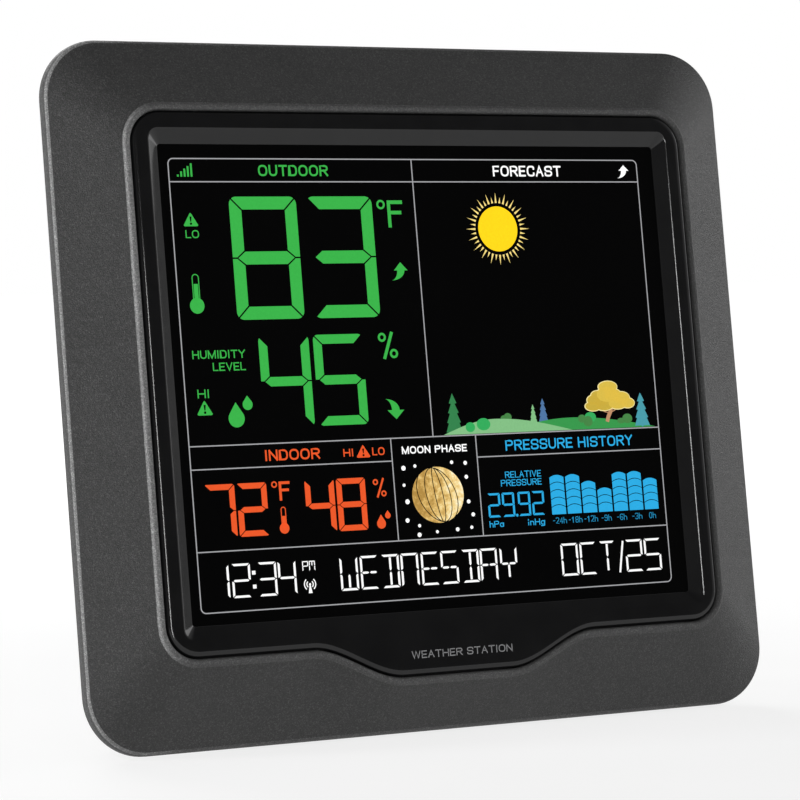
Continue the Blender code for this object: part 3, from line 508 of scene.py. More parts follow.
def lathe(bm, profile, turn, steps=36, looped=False):
    """Adds a solid of revolution. profile lists (radius, height) and, if not 0, the span's material."""
    rows = []
    for radius, height, *_ in profile:
        spots = circle_points(0, 0, radius, steps) if radius else [(0, 0)]
        rows.append([bm.verts.new(turn @ Vector((*spot, height))) for spot in spots])
    for row, after, (_, _, *material) in zip(rows, rows[1:] + rows[:1] if looped else rows[1:], profile):
        for i in range(steps):
            j = (i + 1) % steps
            corners = (row[i % len(row)], row[j % len(row)], after[j % len(after)], after[i % len(after)])
            corners = list(dict.fromkeys(corners))
            if len(corners) > 2:
                bm.faces.new(corners).material_index = sum(material)


WIRE_SIDES = 8


def wire(bm, path, radius):
    """Adds a round wire along a path."""
    rows = []
    for i, point in enumerate(path):
        along = (path[min(i + 1, len(path) - 1)] - path[max(i - 1, 0)]).normalized()
        side = along.cross(Vector((1, 0, 0.01))).normalized()
        rise = side.cross(along).normalized()
        section = circle_points(0, 0, radius, WIRE_SIDES)
        rows.append([bm.verts.new(point + side * a + rise * b) for a, b in section])
    skin(bm, list(zip(*rows)), False)


def block(bm, low, high, chamfer):
    made = bmesh.ops.create_cube(bm, size=1.0)["verts"]
    for v in made:
        v.co = Vector([low[i] + (v.co[i] + 0.5) * (high[i] - low[i]) for i in range(3)])
    edges = list(dict.fromkeys(e for v in made for e in v.link_edges))
    bmesh.ops.bevel(bm, geom=edges, offset=chamfer, segments=2, profile=0.5, affect="EDGES")


def turned(spot, axis, sign):
    """Moves to a spot with a quarter turn about an axis."""
    return Matrix.Translation(spot) @ Matrix.Rotation(sign * math.pi / 2, 4, axis)


def cell_ends(name):
    """A cell's middle, radius, half length and which way its plus end points."""
    low, high = case_box(name)
    return (low + high) / 2, (high.y - low.y) / 2, (high.x - low.x) / 2, 1 if name == "battery_2" else -1


# A cell's section: how far in from its side, how far from its end, and the material of the span after it.
CELL_MATERIALS = [JACKET, CELL_BAND, PLATED]
CELL_FOOT = ((2.0, 0.25, 2), (1.7, 0, 2), (0.7, 0, 2), (0.55, 0.1, 0), (0.15, 0.25, 0), (0, 0.7, 0))
CELL_HEAD = (
    (0, 10.0, 1), (0, 9.0, 0), (0, 3.0, 1), (0, 1.8, 0), (0.2, 1.2, 0), (0.7, 1.05, 2), (1.0, 1.25, 2),
)
CELL_NUB = ((2.1, 1.2), (1.9, 1.0), (1.9, 0.25), (1.65, 0), (0, 0))  # radius, how far below the tip


def make_cells():
    """Cells with a jacket, two pale bands and plated ends."""
    for name in ("battery_1", "battery_2", "battery_3"):
        middle, radius, half, plus = cell_ends(name)
        profile = [
            (0, -half + 0.25, 2), *((radius - into, -half + up, kind) for into, up, kind in CELL_FOOT),
            *((radius - into, half - down, kind) for into, down, kind in CELL_HEAD),
            *((out, half - down, 2) for out, down in CELL_NUB),
        ]
        bm = bmesh.new()
        lathe(bm, profile, turned(middle, "Y", plus))
        piece(name + "_wrapped", bm, CELL_MATERIALS, [name], 35)


PLATE = 0.5
TAB_HALF = 1.5
END_GAP = 0.15  # left between a contact's tip and the cell
DIMPLE_RADIUS = 1.7
DIMPLE_STEPS = 6
COIL_REACH = 2.5
COIL_WIRE = 0.3
COIL_FOOT = 3.3
COIL_TIP = 1.8
COIL_DEGREES = 3.5 * 360
COIL_STEPS = 84


def add_dimple(bm, turn, reach):
    dome = arc_points(0, 0, DIMPLE_RADIUS, 0, 90, DIMPLE_STEPS, reach / DIMPLE_RADIUS)
    lathe(bm, [(0, -0.2), (DIMPLE_RADIUS, -0.2), *dome[:-1], (0, reach)], turn, 24)


def add_coil(bm, turn, reach):
    path = []
    for k in range(COIL_STEPS + 1):
        t = k / COIL_STEPS
        spot = polar(0, 0, COIL_FOOT + (COIL_TIP - COIL_FOOT) * t, COIL_DEGREES * t)
        path.append(turn @ Vector((*spot, COIL_WIRE + (reach - 2 * COIL_WIRE) * t)))
    wire(bm, path, COIL_WIRE)


def make_contacts():
    """Sprung plates: a pressed dimple for a cell's plus end, a coil for its minus end."""
    cells = [cell_ends(f"battery_{number}") for number in (1, 2, 3)]
    plate_out = case_box("battery_contact_2")[1].x
    for number, side in ((1, -1), (2, 1), (3, -1), (4, 1)):
        name = f"battery_contact_{number}"
        low, high = case_box(name)
        bm = bmesh.new()
        near, far = sorted((side * (plate_out - PLATE), side * plate_out))
        block(bm, (near, low.y, low.z), (far, high.y, high.z), 0.12)
        if number in (1, 4):  # the end plates carry a tab for a lead
            row = (low.z + high.z) / 2
            near, far = sorted((side * (plate_out - 0.1), side * max(-low.x, high.x)))
            block(bm, (near, low.y + 1.0, row - TAB_HALF), (far, low.y + 1.6, row + TAB_HALF), 0.1)
        inner = side * (plate_out - PLATE + 0.1)
        for middle, _, half, plus in cells:
            if not low.z < middle.z < high.z:
                continue
            turn = turned((inner, middle.y, middle.z), "Y", -side)
            room = abs(inner) - half - END_GAP
            if plus == side:
                add_dimple(bm, turn, min(DIMPLE_RADIUS, room))
            else:
                add_coil(bm, turn, min(COIL_REACH, room))
        piece(name + "_sprung", bm, [PLATED], [name], 40)


RIM_PROFILE = ((0.0, -0.2), (0.0, 0.2), (0.15, 0.35), (0.65, 0.35), (0.85, 0.2), (1.0, -0.2))
RIM_GAP = 0.45


def make_button_rims():
    """A low moulded ring round each rear button."""
    for number in range(1, 7):
        low, high = case_box(f"button_{number}")
        middle = (low + high) / 2
        turn = turned((middle.x, CASE_BACK, middle.z), "X", -1)
        inner = (high.x - low.x) / 2 + RIM_GAP
        bm = bmesh.new()
        lathe(bm, [(inner + out, height) for out, height in RIM_PROFILE], turn, 48, looped=True)
        piece(f"button_rim_{number}", bm, [REAR_PLASTIC], smooth_degrees=40)


# --- Display artwork: flat shapes just behind the window ---

ART_BACK = case_box("front_polariser")[0].y - 0.12
PRINT_BACK = 0.045
LAYER = 0.03

# Letters as strokes on a grid of eight by eight. Each word is a point, column then row, with rows a, b and
# c below the baseline; r rounds that corner, and a star closes the stroke.
LETTER_ROWS = "cba012345678"
BASELINE = LETTER_ROWS.index("0")
LETTER_GAP = 0.12
LETTERS = {
    "A": ("00 48 80", "23 63"), "C": ("86 88r 08r 00r 80r 82",), "D": ("00 08 88r 80r *",),
    "E": ("80 00 08 88", "04 74"), "F": ("00 08 88", "04 74"), "H": ("00 08", "80 88", "04 84"),
    "I": ("40 48",), "L": ("08 00 80",), "M": ("00 08", "80 88", "08 40 88"),
    "N": ("00 08", "80 88", "08 80"),
    "O": ("08r 88r 80r 00r *",), "P": ("00 08 88r 84r 04",), "R": ("00 08 88r 84r 04", "44 80"),
    "S": ("86 88r 08r 04r 84r 80r 00r 02",), "T": ("08 88", "40 48"), "U": ("08 00r 80r 88",),
    "V": ("08 40 88",), "W": ("08 20 48 60 88",), "Y": ("08 44 88", "44 40"), "a": ("05r 85 80 00r *",),
    "h": ("00 08", "03 05r 85r 80"), "i": ("40 44", "47 48"), "n": ("00 05", "03 05r 85r 80"),
    "g": ("05r 85 80 00r *", "80 8br 0b"), "-": ("14 74",), "0": ("08r 88r 80r 00r *",), "1": ("16 48 40",),
    "2": ("07 08r 88r 85 00 80",), "3": ("07 08r 88r 84r 44", "44 84r 80r 00r 01"), "4": ("60 68 02 82",),
    "6": ("87 88r 08r 00r 80r 84r 04",), "8": ("08r 88r 84r 04r *", "04r 84r 80r 00r *"),
    "9": ("01 00r 80r 88r 08r 04r 84",),
}
LETTER_WIDTHS = {
    "I": 0.22, "i": 0.22, "E": 0.62, "F": 0.60, "L": 0.58, "M": 0.86, "W": 1.0, "O": 0.78, "-": 0.42,
    " ": 0.30, **{symbol: 0.56 for symbol in "hang01234689"},
}
USUAL_WIDTH = 0.72


def curved_path(corners, closed, overrun):
    """Points along a stroke with its rounded corners curved and its open ends carried on by overrun."""
    count = len(corners)
    path = []
    for i, (point, curved) in enumerate(corners):
        before = corners[i - 1][0]
        after = corners[(i + 1) % count][0]
        if not closed and i in (0, count - 1):
            path.append(point + (point - (before if i else after)).normalized() * overrun)
        elif curved:
            path += quadratic(point.lerp(before, 0.48), point, point.lerp(after, 0.48), 6)
        else:
            path.append(point)
    return path


class Art:
    """Flat shapes gathered into one piece. A higher layer is nearer the viewer."""

    def __init__(self, *materials, back=ART_BACK):
        self.bm = bmesh.new()
        self.materials = materials
        self.back = back

    def shape(self, points, layer=0, material=0):
        front = self.back - LAYER * (layer + 1)
        near = [self.bm.verts.new((x, front, z)) for x, z in points]
        far = [self.bm.verts.new((x, self.back, z)) for x, z in points]
        made = [self.bm.faces.new(near), self.bm.faces.new(far[::-1])]
        for i in range(len(near)):
            j = (i + 1) % len(near)
            made.append(self.bm.faces.new((near[i], far[i], far[j], near[j])))
        for face in made:
            face.material_index = material

    def box(self, x0, z0, x1, z1):
        self.shape([(x0, z0), (x1, z0), (x1, z1), (x0, z1)])

    def disc(self, x, z, radius, layer=0, material=0, steps=32, squash=1.0):
        self.shape(circle_points(x, z, radius, steps, squash), layer, material)

    def band(self, path, width, closed=False, layer=0, material=0):
        """A ribbon of the given width along a path, made of one closed strip."""
        count = len(path)
        left, right = [], []
        for i, (x, z) in enumerate(path):
            before = path[i - 1] if closed or i else path[i]
            after = path[(i + 1) % count] if closed or i < count - 1 else path[i]
            along = Vector((after[0] - before[0], after[1] - before[1])).normalized()
            into = Vector((x - before[0], z - before[1]))
            turn = max(0.5, abs(into.normalized().dot(along))) if into.length > 1e-9 else 1.0
            side = Vector((-along.y, along.x)) * (width / 2 / turn)
            left.append((x + side.x, z + side.y))
            right.append((x - side.x, z - side.y))
        front = self.back - LAYER * (layer + 1)
        edges = ((left, front), (right, front), (right, self.back), (left, self.back))
        lines = [[self.bm.verts.new((x, y, z)) for x, z in edge] for edge, y in edges]
        for _, face in skin(self.bm, lines, closed):
            face.material_index = material

    def ring(self, x, z, outer, inner):
        self.band(circle_points(x, z, (outer + inner) / 2, 28), outer - inner, True)

    def words(self, text, x_range, z_range, weight, material=0):
        """Plain stroke letters fitted into a box. weight is the stroke's share of the letters' height."""
        tall = z_range[1] - z_range[0]
        stroke = weight * tall
        widths = [LETTER_WIDTHS.get(symbol, USUAL_WIDTH) for symbol in text]
        scale = (x_range[1] - x_range[0]) / (sum(widths) + LETTER_GAP * (len(text) - 1))
        x = x_range[0]
        for symbol, share in zip(text, widths):
            wide = share * scale
            for grid in LETTERS.get(symbol, ()):
                corners = []
                for spot in grid.replace("*", "").split():
                    across = x + stroke / 2 + int(spot[0]) / 8 * (wide - stroke)
                    row = LETTER_ROWS.index(spot[1]) - BASELINE
                    up = z_range[0] + stroke / 2 + row / 8 * (tall - stroke)
                    corners.append((Vector((across, up)), spot.endswith("r")))
                closed = grid.endswith("*")
                path = [tuple(v) for v in curved_path(corners, closed, stroke / 2)]
                self.band(path, stroke, closed, material=material)
            x += wide + LETTER_GAP * scale

    def digits(self, placed, z_range, bar, gap, corner):
        """A row of segment characters. placed lists (symbol, left edge, width)."""
        for symbol, x, width in placed:
            for name in DIGITS[symbol]:
                self.shape(segment_points(name, x, x + width, *z_range, bar, gap, corner))

    def done(self, name):
        piece(name, self.bm, self.materials)


# The bars of each character. a to g stand as on a clock, h and k are the halves of g, and i and l are the
# upper and lower half of a middle upright.
DIGITS = {
    "1": "bc", "2": "abdeg", "3": "abcdg", "4": "bcfg", "5": "acdfg", "7": "abc", "8": "abcdefg",
    "9": "abcdfg", "W": "bcdefl", "E": "adefhk", "D": "abcdil", "N": "abcef", "S": "acdfhk", "A": "abcefhk",
    "Y": "bfhkl", "O": "abcdef", "C": "adef", "T": "ail", "P": "abefg", "M": "abcefi",
}
TIP_SHARE = 0.38  # how far the middle bars' tips reach into the uprights


def segment_points(name, x0, x1, z0, z1, bar, gap, corner):
    """One bar of a character in the box x0..x1, z0..z1, drawn at the upper left and mirrored into place.

    bar is the bars' (upright, level) thickness.
    """
    upright, level = bar
    left, top = (x0 - x1) / 2, (z1 - z0) / 2
    tip = gap / math.sqrt(2)
    split = math.degrees(gap / 2 / corner)
    round_x, round_z = left + corner, top - corner
    if name in "ad":
        points = arc_points(round_x, round_z, corner, 135 - split, 90, 3)
        points += [(-x, z) for x, z in points[::-1]]
        points += [(-left - upright - tip, top - level), (left + upright + tip, top - level)]
    elif name in "bcef":
        points = [
            *arc_points(round_x, round_z, corner, 180, 135 + split, 3), (left + upright, top - level - tip),
            (left + upright, level / 2 + tip), (left + upright * TIP_SHARE, gap / 2), (left, gap / 2),
        ]
    elif name in "ghk":
        near = left + upright * TIP_SHARE + tip
        far = -near if name == "g" else -gap / 2
        slant = upright * (1 - TIP_SHARE)
        points = [
            (near, 0), (near + slant, level / 2), (far - slant, level / 2), (far, 0),
            (far - slant, -level / 2), (near + slant, -level / 2),
        ]
    else:
        half = upright / 2
        points = [
            (-half, top - level - tip), (half, top - level - tip), (half, level / 2 + gap), (0, gap / 2),
            (-half, level / 2 + gap),
        ]
    side = -1 if name in "bck" else 1
    up = -1 if name in "cdel" else 1
    return [((x0 + x1) / 2 + side * x, (z0 + z1) / 2 + up * z) for x, z in points]


def letter_f(art, x_range, z_range, stroke):
    x0, x1 = x_range
    z0, z1 = z_range
    stem = x0 + stroke
    arm = x1 - 0.1 * (x1 - x0)
    shelf = z0 + 0.55 * (z1 - z0)
    art.shape([
        (x0, z0), (stem, z0), (stem, shelf - stroke / 2), (arm, shelf - stroke / 2),
        (arm, shelf + stroke / 2), (stem, shelf + stroke / 2), (stem, z1 - stroke), (x1, z1 - stroke),
        (x1, z1), (x0, z1),
    ])


def percent_sign(art, upper, lower, slash, stroke):
    for x, z, radius in (upper, lower):
        art.ring(x, z, radius, radius / 2)
    art.band(slash, stroke)


def warning_sign(art, x_range, z_range):
    """A triangle with an exclamation mark in the second material."""
    x0, x1 = x_range
    z0, z1 = z_range
    mid = (x0 + x1) / 2
    tall = z1 - z0
    cut = 0.08 * tall
    art.shape([
        (x0 + cut, z0), (x1 - cut, z0), (x1, z0 + cut), (mid + cut, z1 - cut), (mid, z1),
        (mid - cut, z1 - cut), (x0, z0 + cut),
    ])
    wide = 0.06 * tall
    low, high = z0 + 0.34 * tall, z0 + 0.72 * tall
    foot, head = 0.6 * wide, 1.4 * wide
    art.shape([(mid - foot, low), (mid + foot, low), (mid + head, high), (mid - head, high)], 1, 1)
    art.disc(mid, z0 + 0.19 * tall, wide * 1.5, 1, 1, 12)


def droplet(art, x, z, radius, apex):
    """A water drop: a round bottom drawn up to a point."""
    art.shape([(x, apex), *arc_points(x, z, radius, 30, -210, 20)])


def thermometer(art, x, bulb, top, tube_w, fill_top, fill_w):
    """An outlined tube with a filled bulb and column. bulb is its (z, radius)."""
    bulb_z, bulb_r = bulb
    half = tube_w / 2
    line = 0.22
    reach = half - line / 2
    neck = bulb_z + math.sqrt(bulb_r ** 2 - half ** 2) - 0.2
    art.band([(x - reach, neck), *arc_points(x, top - half, reach, 180, 0, 12), (x + reach, neck)], line)
    art.disc(x, bulb_z, bulb_r)
    art.box(x - fill_w / 2, bulb_z, x + fill_w / 2, fill_top)


def curved_arrow(art, tail, apex, base, head_half, shaft_half):
    """An arrow whose tail sweeps in from one side. base is the level of the head's flat side."""
    up = 1 if apex[1] > base else -1
    x, z = tail
    art.shape([(apex[0] - head_half, base), apex, (apex[0] + head_half, base)])
    sides = []
    for half, end in ((shaft_half, base + up * 0.02), (-shaft_half, base - up * 0.33)):
        reach = apex[0] + half - x
        sides.append(arc_points(x, end, reach, -90, 0, 10, (end - z) / reach))
    inner = [(a, b + up * 0.035 * i) for i, (a, b) in enumerate(sides[1])]
    art.shape([*sides[0], (inner[-1][0], base), *inner[-2:0:-1]])


# The border round the display's panels, the sides of the moon's panel, and the rows that panels start at.
SIDE, TOP, BOTTOM = 65.5, 54.75, -51.8
MOON_LEFT, MOON_RIGHT = -11.8, 11.9
MIDDLE_ROW, CLOCK_ROW = -13.0, -37.65
RULES = (  # ends of each line inside the border
    ((-SIDE, 49.25), (SIDE, 49.25)), ((-SIDE, MIDDLE_ROW), (SIDE, MIDDLE_ROW)),
    ((-SIDE, -18.45), (MOON_LEFT, -18.45)), ((MOON_RIGHT, -18.45), (SIDE, -18.45)),
    ((-SIDE, CLOCK_ROW), (SIDE, CLOCK_ROW)), ((0.0, MIDDLE_ROW), (0.0, TOP)),
    ((MOON_LEFT, CLOCK_ROW), (MOON_LEFT, MIDDLE_ROW)), ((MOON_RIGHT, CLOCK_ROW), (MOON_RIGHT, MIDDLE_ROW)),
)
RULE_CORNER = 1.3
RULE_WIDTH = 0.27


def make_lines():
    """The border of the display and the lines between its panels."""
    art = Art(lit_film("line_grey_film", LINE_GREY))
    side, low, high = SIDE - RULE_CORNER, BOTTOM + RULE_CORNER, TOP - RULE_CORNER
    border = []
    for x, z, start in ((side, low, -90), (side, high, 0), (-side, high, 90), (-side, low, 180)):
        border += arc_points(x, z, RULE_CORNER, start, start + 90, 6)
    art.band(border, RULE_WIDTH, closed=True)
    for ends in RULES:
        art.band(ends, RULE_WIDTH)
    art.done("display_ruling")


def make_outdoor():
    """Signal bars, temperature and humidity outdoors, each with its arrow, warning and symbol."""
    art = Art(lit_film("green_film", GREEN, 0.87), DARK_FILM)
    for i, tall in enumerate((0.5, 1.25, 1.9, 2.5, 3.15)):
        x = -63.4 + 0.89 * i
        art.box(x, 50.45, x + 0.48, 50.45 + tall)
    art.words("OUTDOOR", (-42.0, -23.2), (50.6, 53.3), 0.165)
    art.digits((("8", -50.4, 17.9), ("3", -29.8, 17.9)), (16.4, 45.7), (3.15, 3.08), 0.38, 1.9)
    art.ring(-9.45, 43.7, 1.15, 0.65)
    letter_f(art, (-7.7, -3.45), (38.1, 44.7), 0.88)
    curved_arrow(art, (-7.9, 25.2), (-5.3, 29.6), 27.6, 1.9, 1.0)
    warning_sign(art, (-62.6, -58.8), (38.7, 41.9))
    art.words("LO", (-62.3, -58.8), (35.9, 37.8), 0.145)
    thermometer(art, -60.65, (19.95, 1.87), 27.45, 1.85, 25.1, 1.1)
    art.words("HUMIDITY", (-62.9, -49.1), (7.45, 9.4), 0.15)
    art.words("LEVEL", (-57.8, -49.2), (4.5, 6.45), 0.15)
    art.digits((("4", -45.4, 13.4), ("5", -30.8, 13.4)), (-9.3, 12.45), (2.28, 2.22), 0.32, 1.3)
    percent_sign(art, (-12.0, 11.45, 1.1), (-9.0, 7.45, 1.13), ((-11.7, 6.2), (-9.2, 12.7)), 0.8)
    art.words("HI", (-62.3, -59.2), (-1.77, 0.27), 0.145)
    warning_sign(art, (-62.7, -58.7), (-5.8, -2.4))
    droplet(art, -52.6, -6.8, 2.1, -3.0)
    droplet(art, -49.45, -3.6, 1.3, -1.5)
    curved_arrow(art, (-12.4, -3.5), (-9.7, -8.4), -6.2, 2.3, 1.05)
    art.done("outdoor_reading")


def make_indoor():
    """Temperature and humidity indoors."""
    art = Art(lit_film("orange_film", ORANGE, 0.84), DARK_FILM)
    art.words("INDOOR", (-46.0, -31.3), (-17.1, -14.5), 0.165)
    art.words("HI", (-24.95, -22.2), (-16.9, -15.05), 0.165)
    warning_sign(art, (-21.4, -17.7), (-17.3, -14.3))
    art.words("LO", (-17.1, -13.7), (-16.9, -15.0), 0.165)
    placed = zip("7248", (-62.45, -54.05, -36.05, -27.6), [7.85] * 4)
    art.digits(placed, (-34.55, -22.05), (1.45, 1.35), 0.2, 0.7)
    art.ring(-44.1, -22.7, 0.77, 0.45)
    letter_f(art, (-42.9, -40.0), (-26.55, -22.05), 0.65)
    thermometer(art, -42.2, (-33.1, 1.27), -28.0, 1.35, -30.2, 0.85)
    percent_sign(art, (-16.9, -23.3, 0.73), (-14.8, -26.1, 0.73), ((-16.6, -27.0), (-14.7, -22.4)), 0.5)
    droplet(art, -16.1, -33.3, 1.2, -31.1)
    droplet(art, -14.2, -31.4, 0.75, -30.2)
    art.done("indoor_reading")


SUN = (23.1, 37.55)
SUN_RADIUS = 5.6
RAY_ROOT = 6.45
RAY_TIPS = (9.0, 7.9)  # long and short rays in turn
RAY_COUNT = 40
RAY_SPREAD = 2.4


def make_forecast():
    """The forecast panel's title with its arrow, and the sun."""
    art = Art(lit_film("white_film_lit", WHITE))
    art.words("FORECAST", (23.0, 42.8), (50.6, 53.3), 0.165)
    curved_arrow(art, (59.5, 50.2), (61.5, 53.5), 52.1, 1.5, 0.75)
    art.done("forecast_title")
    sun = Art(lit_film("sun_film", (0.98, 0.64, 0.008)), lit_film("sun_ray_film", (0.88, 0.68, 0.22)))
    sun.disc(*SUN, SUN_RADIUS, steps=64)
    for i in range(RAY_COUNT):
        middle = 90 + 360 * i / RAY_COUNT
        ray = ((RAY_ROOT, -RAY_SPREAD), (RAY_TIPS[i % 2], 0), (RAY_ROOT, RAY_SPREAD))
        sun.shape([polar(*SUN, reach, middle + turn) for reach, turn in ray], material=1)
    sun.done("forecast_sun")


def hill(art, x_range, base, peak, lean, layer, material):
    """A smooth rise with its peak at the share lean of the way across."""
    x0, x1 = x_range
    steps = 40
    points = [(x0, base)]
    for i in range(1, steps):
        t = i / steps
        u = t / lean / 2 if t < lean else 0.5 + (t - lean) / (1 - lean) / 2
        points.append((x0 + (x1 - x0) * t, base + (peak - base) * math.sin(math.pi * u)))
    art.shape(points + [(x1, base)], layer, material)


FIR_TIERS = 4


def fir(art, x, base, top, half, layer, material):
    """A fir tree: stepped tiers over a short trunk."""
    foot = base + 0.03 * (top - base)
    step = (top - foot) / FIR_TIERS
    right = []
    for k in range(FIR_TIERS):
        low = foot + step * k
        right.append((half * (1 - 0.72 * k / FIR_TIERS), low))
        if k < FIR_TIERS - 1:
            right.append((half * 0.85 * (1 - (k + 1) / FIR_TIERS), low + step * 0.93))
    trunk = 0.1 * half
    left = [(-w, z) for w, z in right[::-1]]
    points = [(trunk, foot), *right, (0.0, top), *left, (-trunk, foot), (-trunk, base), (trunk, base)]
    art.shape([(x + w, z) for w, z in points], layer, material)


def puffs(art, blobs, layer, material, grow=0.0):
    """Leaves drawn as overlapping ovals, each (x, z, half width, half height)."""
    for x, z, half_w, half_h in blobs:
        art.disc(x, z, half_w + grow, layer, material, 28, squash=(half_h + grow) / (half_w + grow))


LAND_FILMS = {
    "hill_light": (0.205, 0.47, 0.21), "hill_mid": (0.035, 0.28, 0.065), "tree_green": (0.03, 0.20, 0.065),
    "tree_blue": (0.07, 0.16, 0.33), "tree_teal": (0.06, 0.30, 0.36), "crown_yellow": (0.64, 0.455, 0.06),
    "crown_ochre": (0.53, 0.375, 0.045), "trunk": (0.47, 0.25, 0.13), "bush": (0.055, 0.21, 0.055),
    "crown_rim": (0.83, 0.72, 0.33), "bush_bright": (0.03, 0.37, 0.095),
}
GROUND = -12.75
FIRS = (  # x, foot above the ground, top, half width, layer, film
    (28.9, 2.2, -6.1, 1.0, 0, "hill_light"), (31.8, 2.2, -4.7, 1.35, 0, "tree_blue"),
    (6.2, 0.3, -2.7, 2.3, 1, "tree_green"), (60.7, 0.1, -4.2, 2.2, 4, "tree_teal"),
)
TRUNK = (  # path, width
    (((50.3, -11.1), (50.8, -9.8), (51.5, -8.6), (51.9, -7.4)), 1.0),
    (((48.9, -8.0), (49.9, -8.6), (51.3, -8.9)), 0.2),
    (((51.5, -8.8), (52.6, -8.4), (53.2, -8.0)), 0.2),
)
SHADED_PUFFS = (
    (46.6, -5.6, 1.7, 1.15), (46.5, -7.1, 2.3, 1.15), (49.8, -7.1, 2.5, 1.15), (47.9, -4.6, 1.8, 1.25),
    (49.2, -5.8, 1.7, 1.2),
)
SUNNY_PUFFS = (
    (51.2, -2.4, 2.7, 1.35), (50.9, -4.3, 3.1, 1.9), (52.5, -4.5, 2.5, 1.6), (55.0, -5.3, 2.4, 1.5),
    (56.8, -6.6, 1.9, 1.2), (53.8, -6.6, 2.7, 1.4),
)
FAR_BUSHES = ((20.4, -9.2, 0.9, 0.7), (21.5, -9.0, 1.1, 1.0))
BRIGHT_BUSHES = ((10.6, -11.1, 1.3, 1.2), (14.4, -10.5, 1.9, 1.5), (45.4, -9.8, 1.6, 1.25))
NEAR_BUSHES = (
    (42.9, -10.1, 1.1, 1.0), (44.6, -10.8, 1.3, 1.3), (56.3, -10.5, 1.4, 1.2), (54.4, -11.0, 1.1, 0.7),
)


def make_landscape():
    """Two hills with firs, bushes and a tree in leaf."""
    art = Art(*(lit_film(name + "_film", colour) for name, colour in LAND_FILMS.items()))
    film = {name: i for i, name in enumerate(LAND_FILMS)}
    for x, foot, top, half, layer, name in FIRS:
        fir(art, x, GROUND + foot, top, half, layer, film[name])
    hill(art, (19.0, 64.6), GROUND, -9.7, 0.45, 1, film["hill_mid"])
    hill(art, (3.0, 40.0), GROUND, -9.3, 0.40, 2, film["hill_light"])
    for path, width in TRUNK:
        art.band(path, width, layer=3, material=film["trunk"])
    puffs(art, SHADED_PUFFS + SUNNY_PUFFS, 4, film["crown_rim"], 0.2)
    puffs(art, SHADED_PUFFS, 5, film["crown_ochre"])
    puffs(art, SUNNY_PUFFS, 6, film["crown_yellow"])
    puffs(art, FAR_BUSHES, 1, film["bush"])
    puffs(art, BRIGHT_BUSHES, 5, film["bush_bright"])
    puffs(art, NEAR_BUSHES, 6, film["bush"])
    art.done("forecast_landscape")


MOON = (0.1, -27.1)
MOON_RADIUS = 7.15
MOON_SQUASH = 0.95
MOON_TILT = math.radians(9)
MERIDIANS = (-0.82, -0.48, -0.12, 0.20, 0.50, 0.76)  # shares of the radius at the moon's equator
MERIDIAN_BOW = 0.985
MERIDIAN_REACH = 0.93
MERIDIAN_STEPS = 24
MOON_STARS = (  # right of and above the moon's middle, and radius
    (-9.0, 6.8, 0.6), (-5.8, 7.2, 0.42), (-9.2, 2.7, 0.4), (-8.6, -1.3, 0.6), (-9.0, -5.8, 0.55),
    (-5.8, -7.2, 0.42), (-6.0, -9.4, 0.55), (-1.0, -8.9, 0.4), (4.7, -8.6, 0.5), (8.7, -8.3, 0.42),
    (9.4, -5.2, 0.5), (8.4, -2.0, 0.5), (8.3, 4.0, 0.5), (8.3, 7.4, 0.5), (4.5, 7.7, 0.45),
)


def make_moon():
    """The moon with its dark meridians and the stars round it."""
    art = Art(lit_film("star_film", WHITE), moon_film(), DARK_FILM)
    art.words("MOON PHASE", (-8.95, 9.2), (-16.9, -15.1), 0.185)
    x, z = MOON
    art.disc(x, z, MOON_RADIUS, 0, 1, 72, MOON_SQUASH)
    sine, cosine = math.sin(MOON_TILT), math.cos(MOON_TILT)
    for share in MERIDIANS:
        path = []
        for i in range(MERIDIAN_STEPS + 1):
            angle = math.pi * (i / MERIDIAN_STEPS - 0.5)
            across = share * MERIDIAN_BOW * MOON_RADIUS * math.cos(angle)
            along = MERIDIAN_REACH * MOON_RADIUS * math.sin(angle)
            path.append((x + across * cosine - along * sine, z - across * sine + along * cosine))
        art.band(path, 0.21, False, 1, 2)
    for across, up, size in MOON_STARS:
        art.disc(x + across, z + up, size, steps=16)
    art.done("moon_panel")


HISTORY = (  # how many blocks each bar holds, and its label
    (5, "-24h"), (5, "-18h"), (4, "-12h"), (3, "-9h"), (5, "-6h"), (5, "-3h"), (4, "0h"),
)
BAR_LEFT = 32.05
BAR_PITCH = 4.56
BAR_WIDTH = 4.05
BAR_FOOT = -33.45
BLOCK_STEP = 1.86
BLOCK_GAP = 0.18
BLOCK_ARCH = 0.60
UNIT_ROW = (-35.75, -34.2)


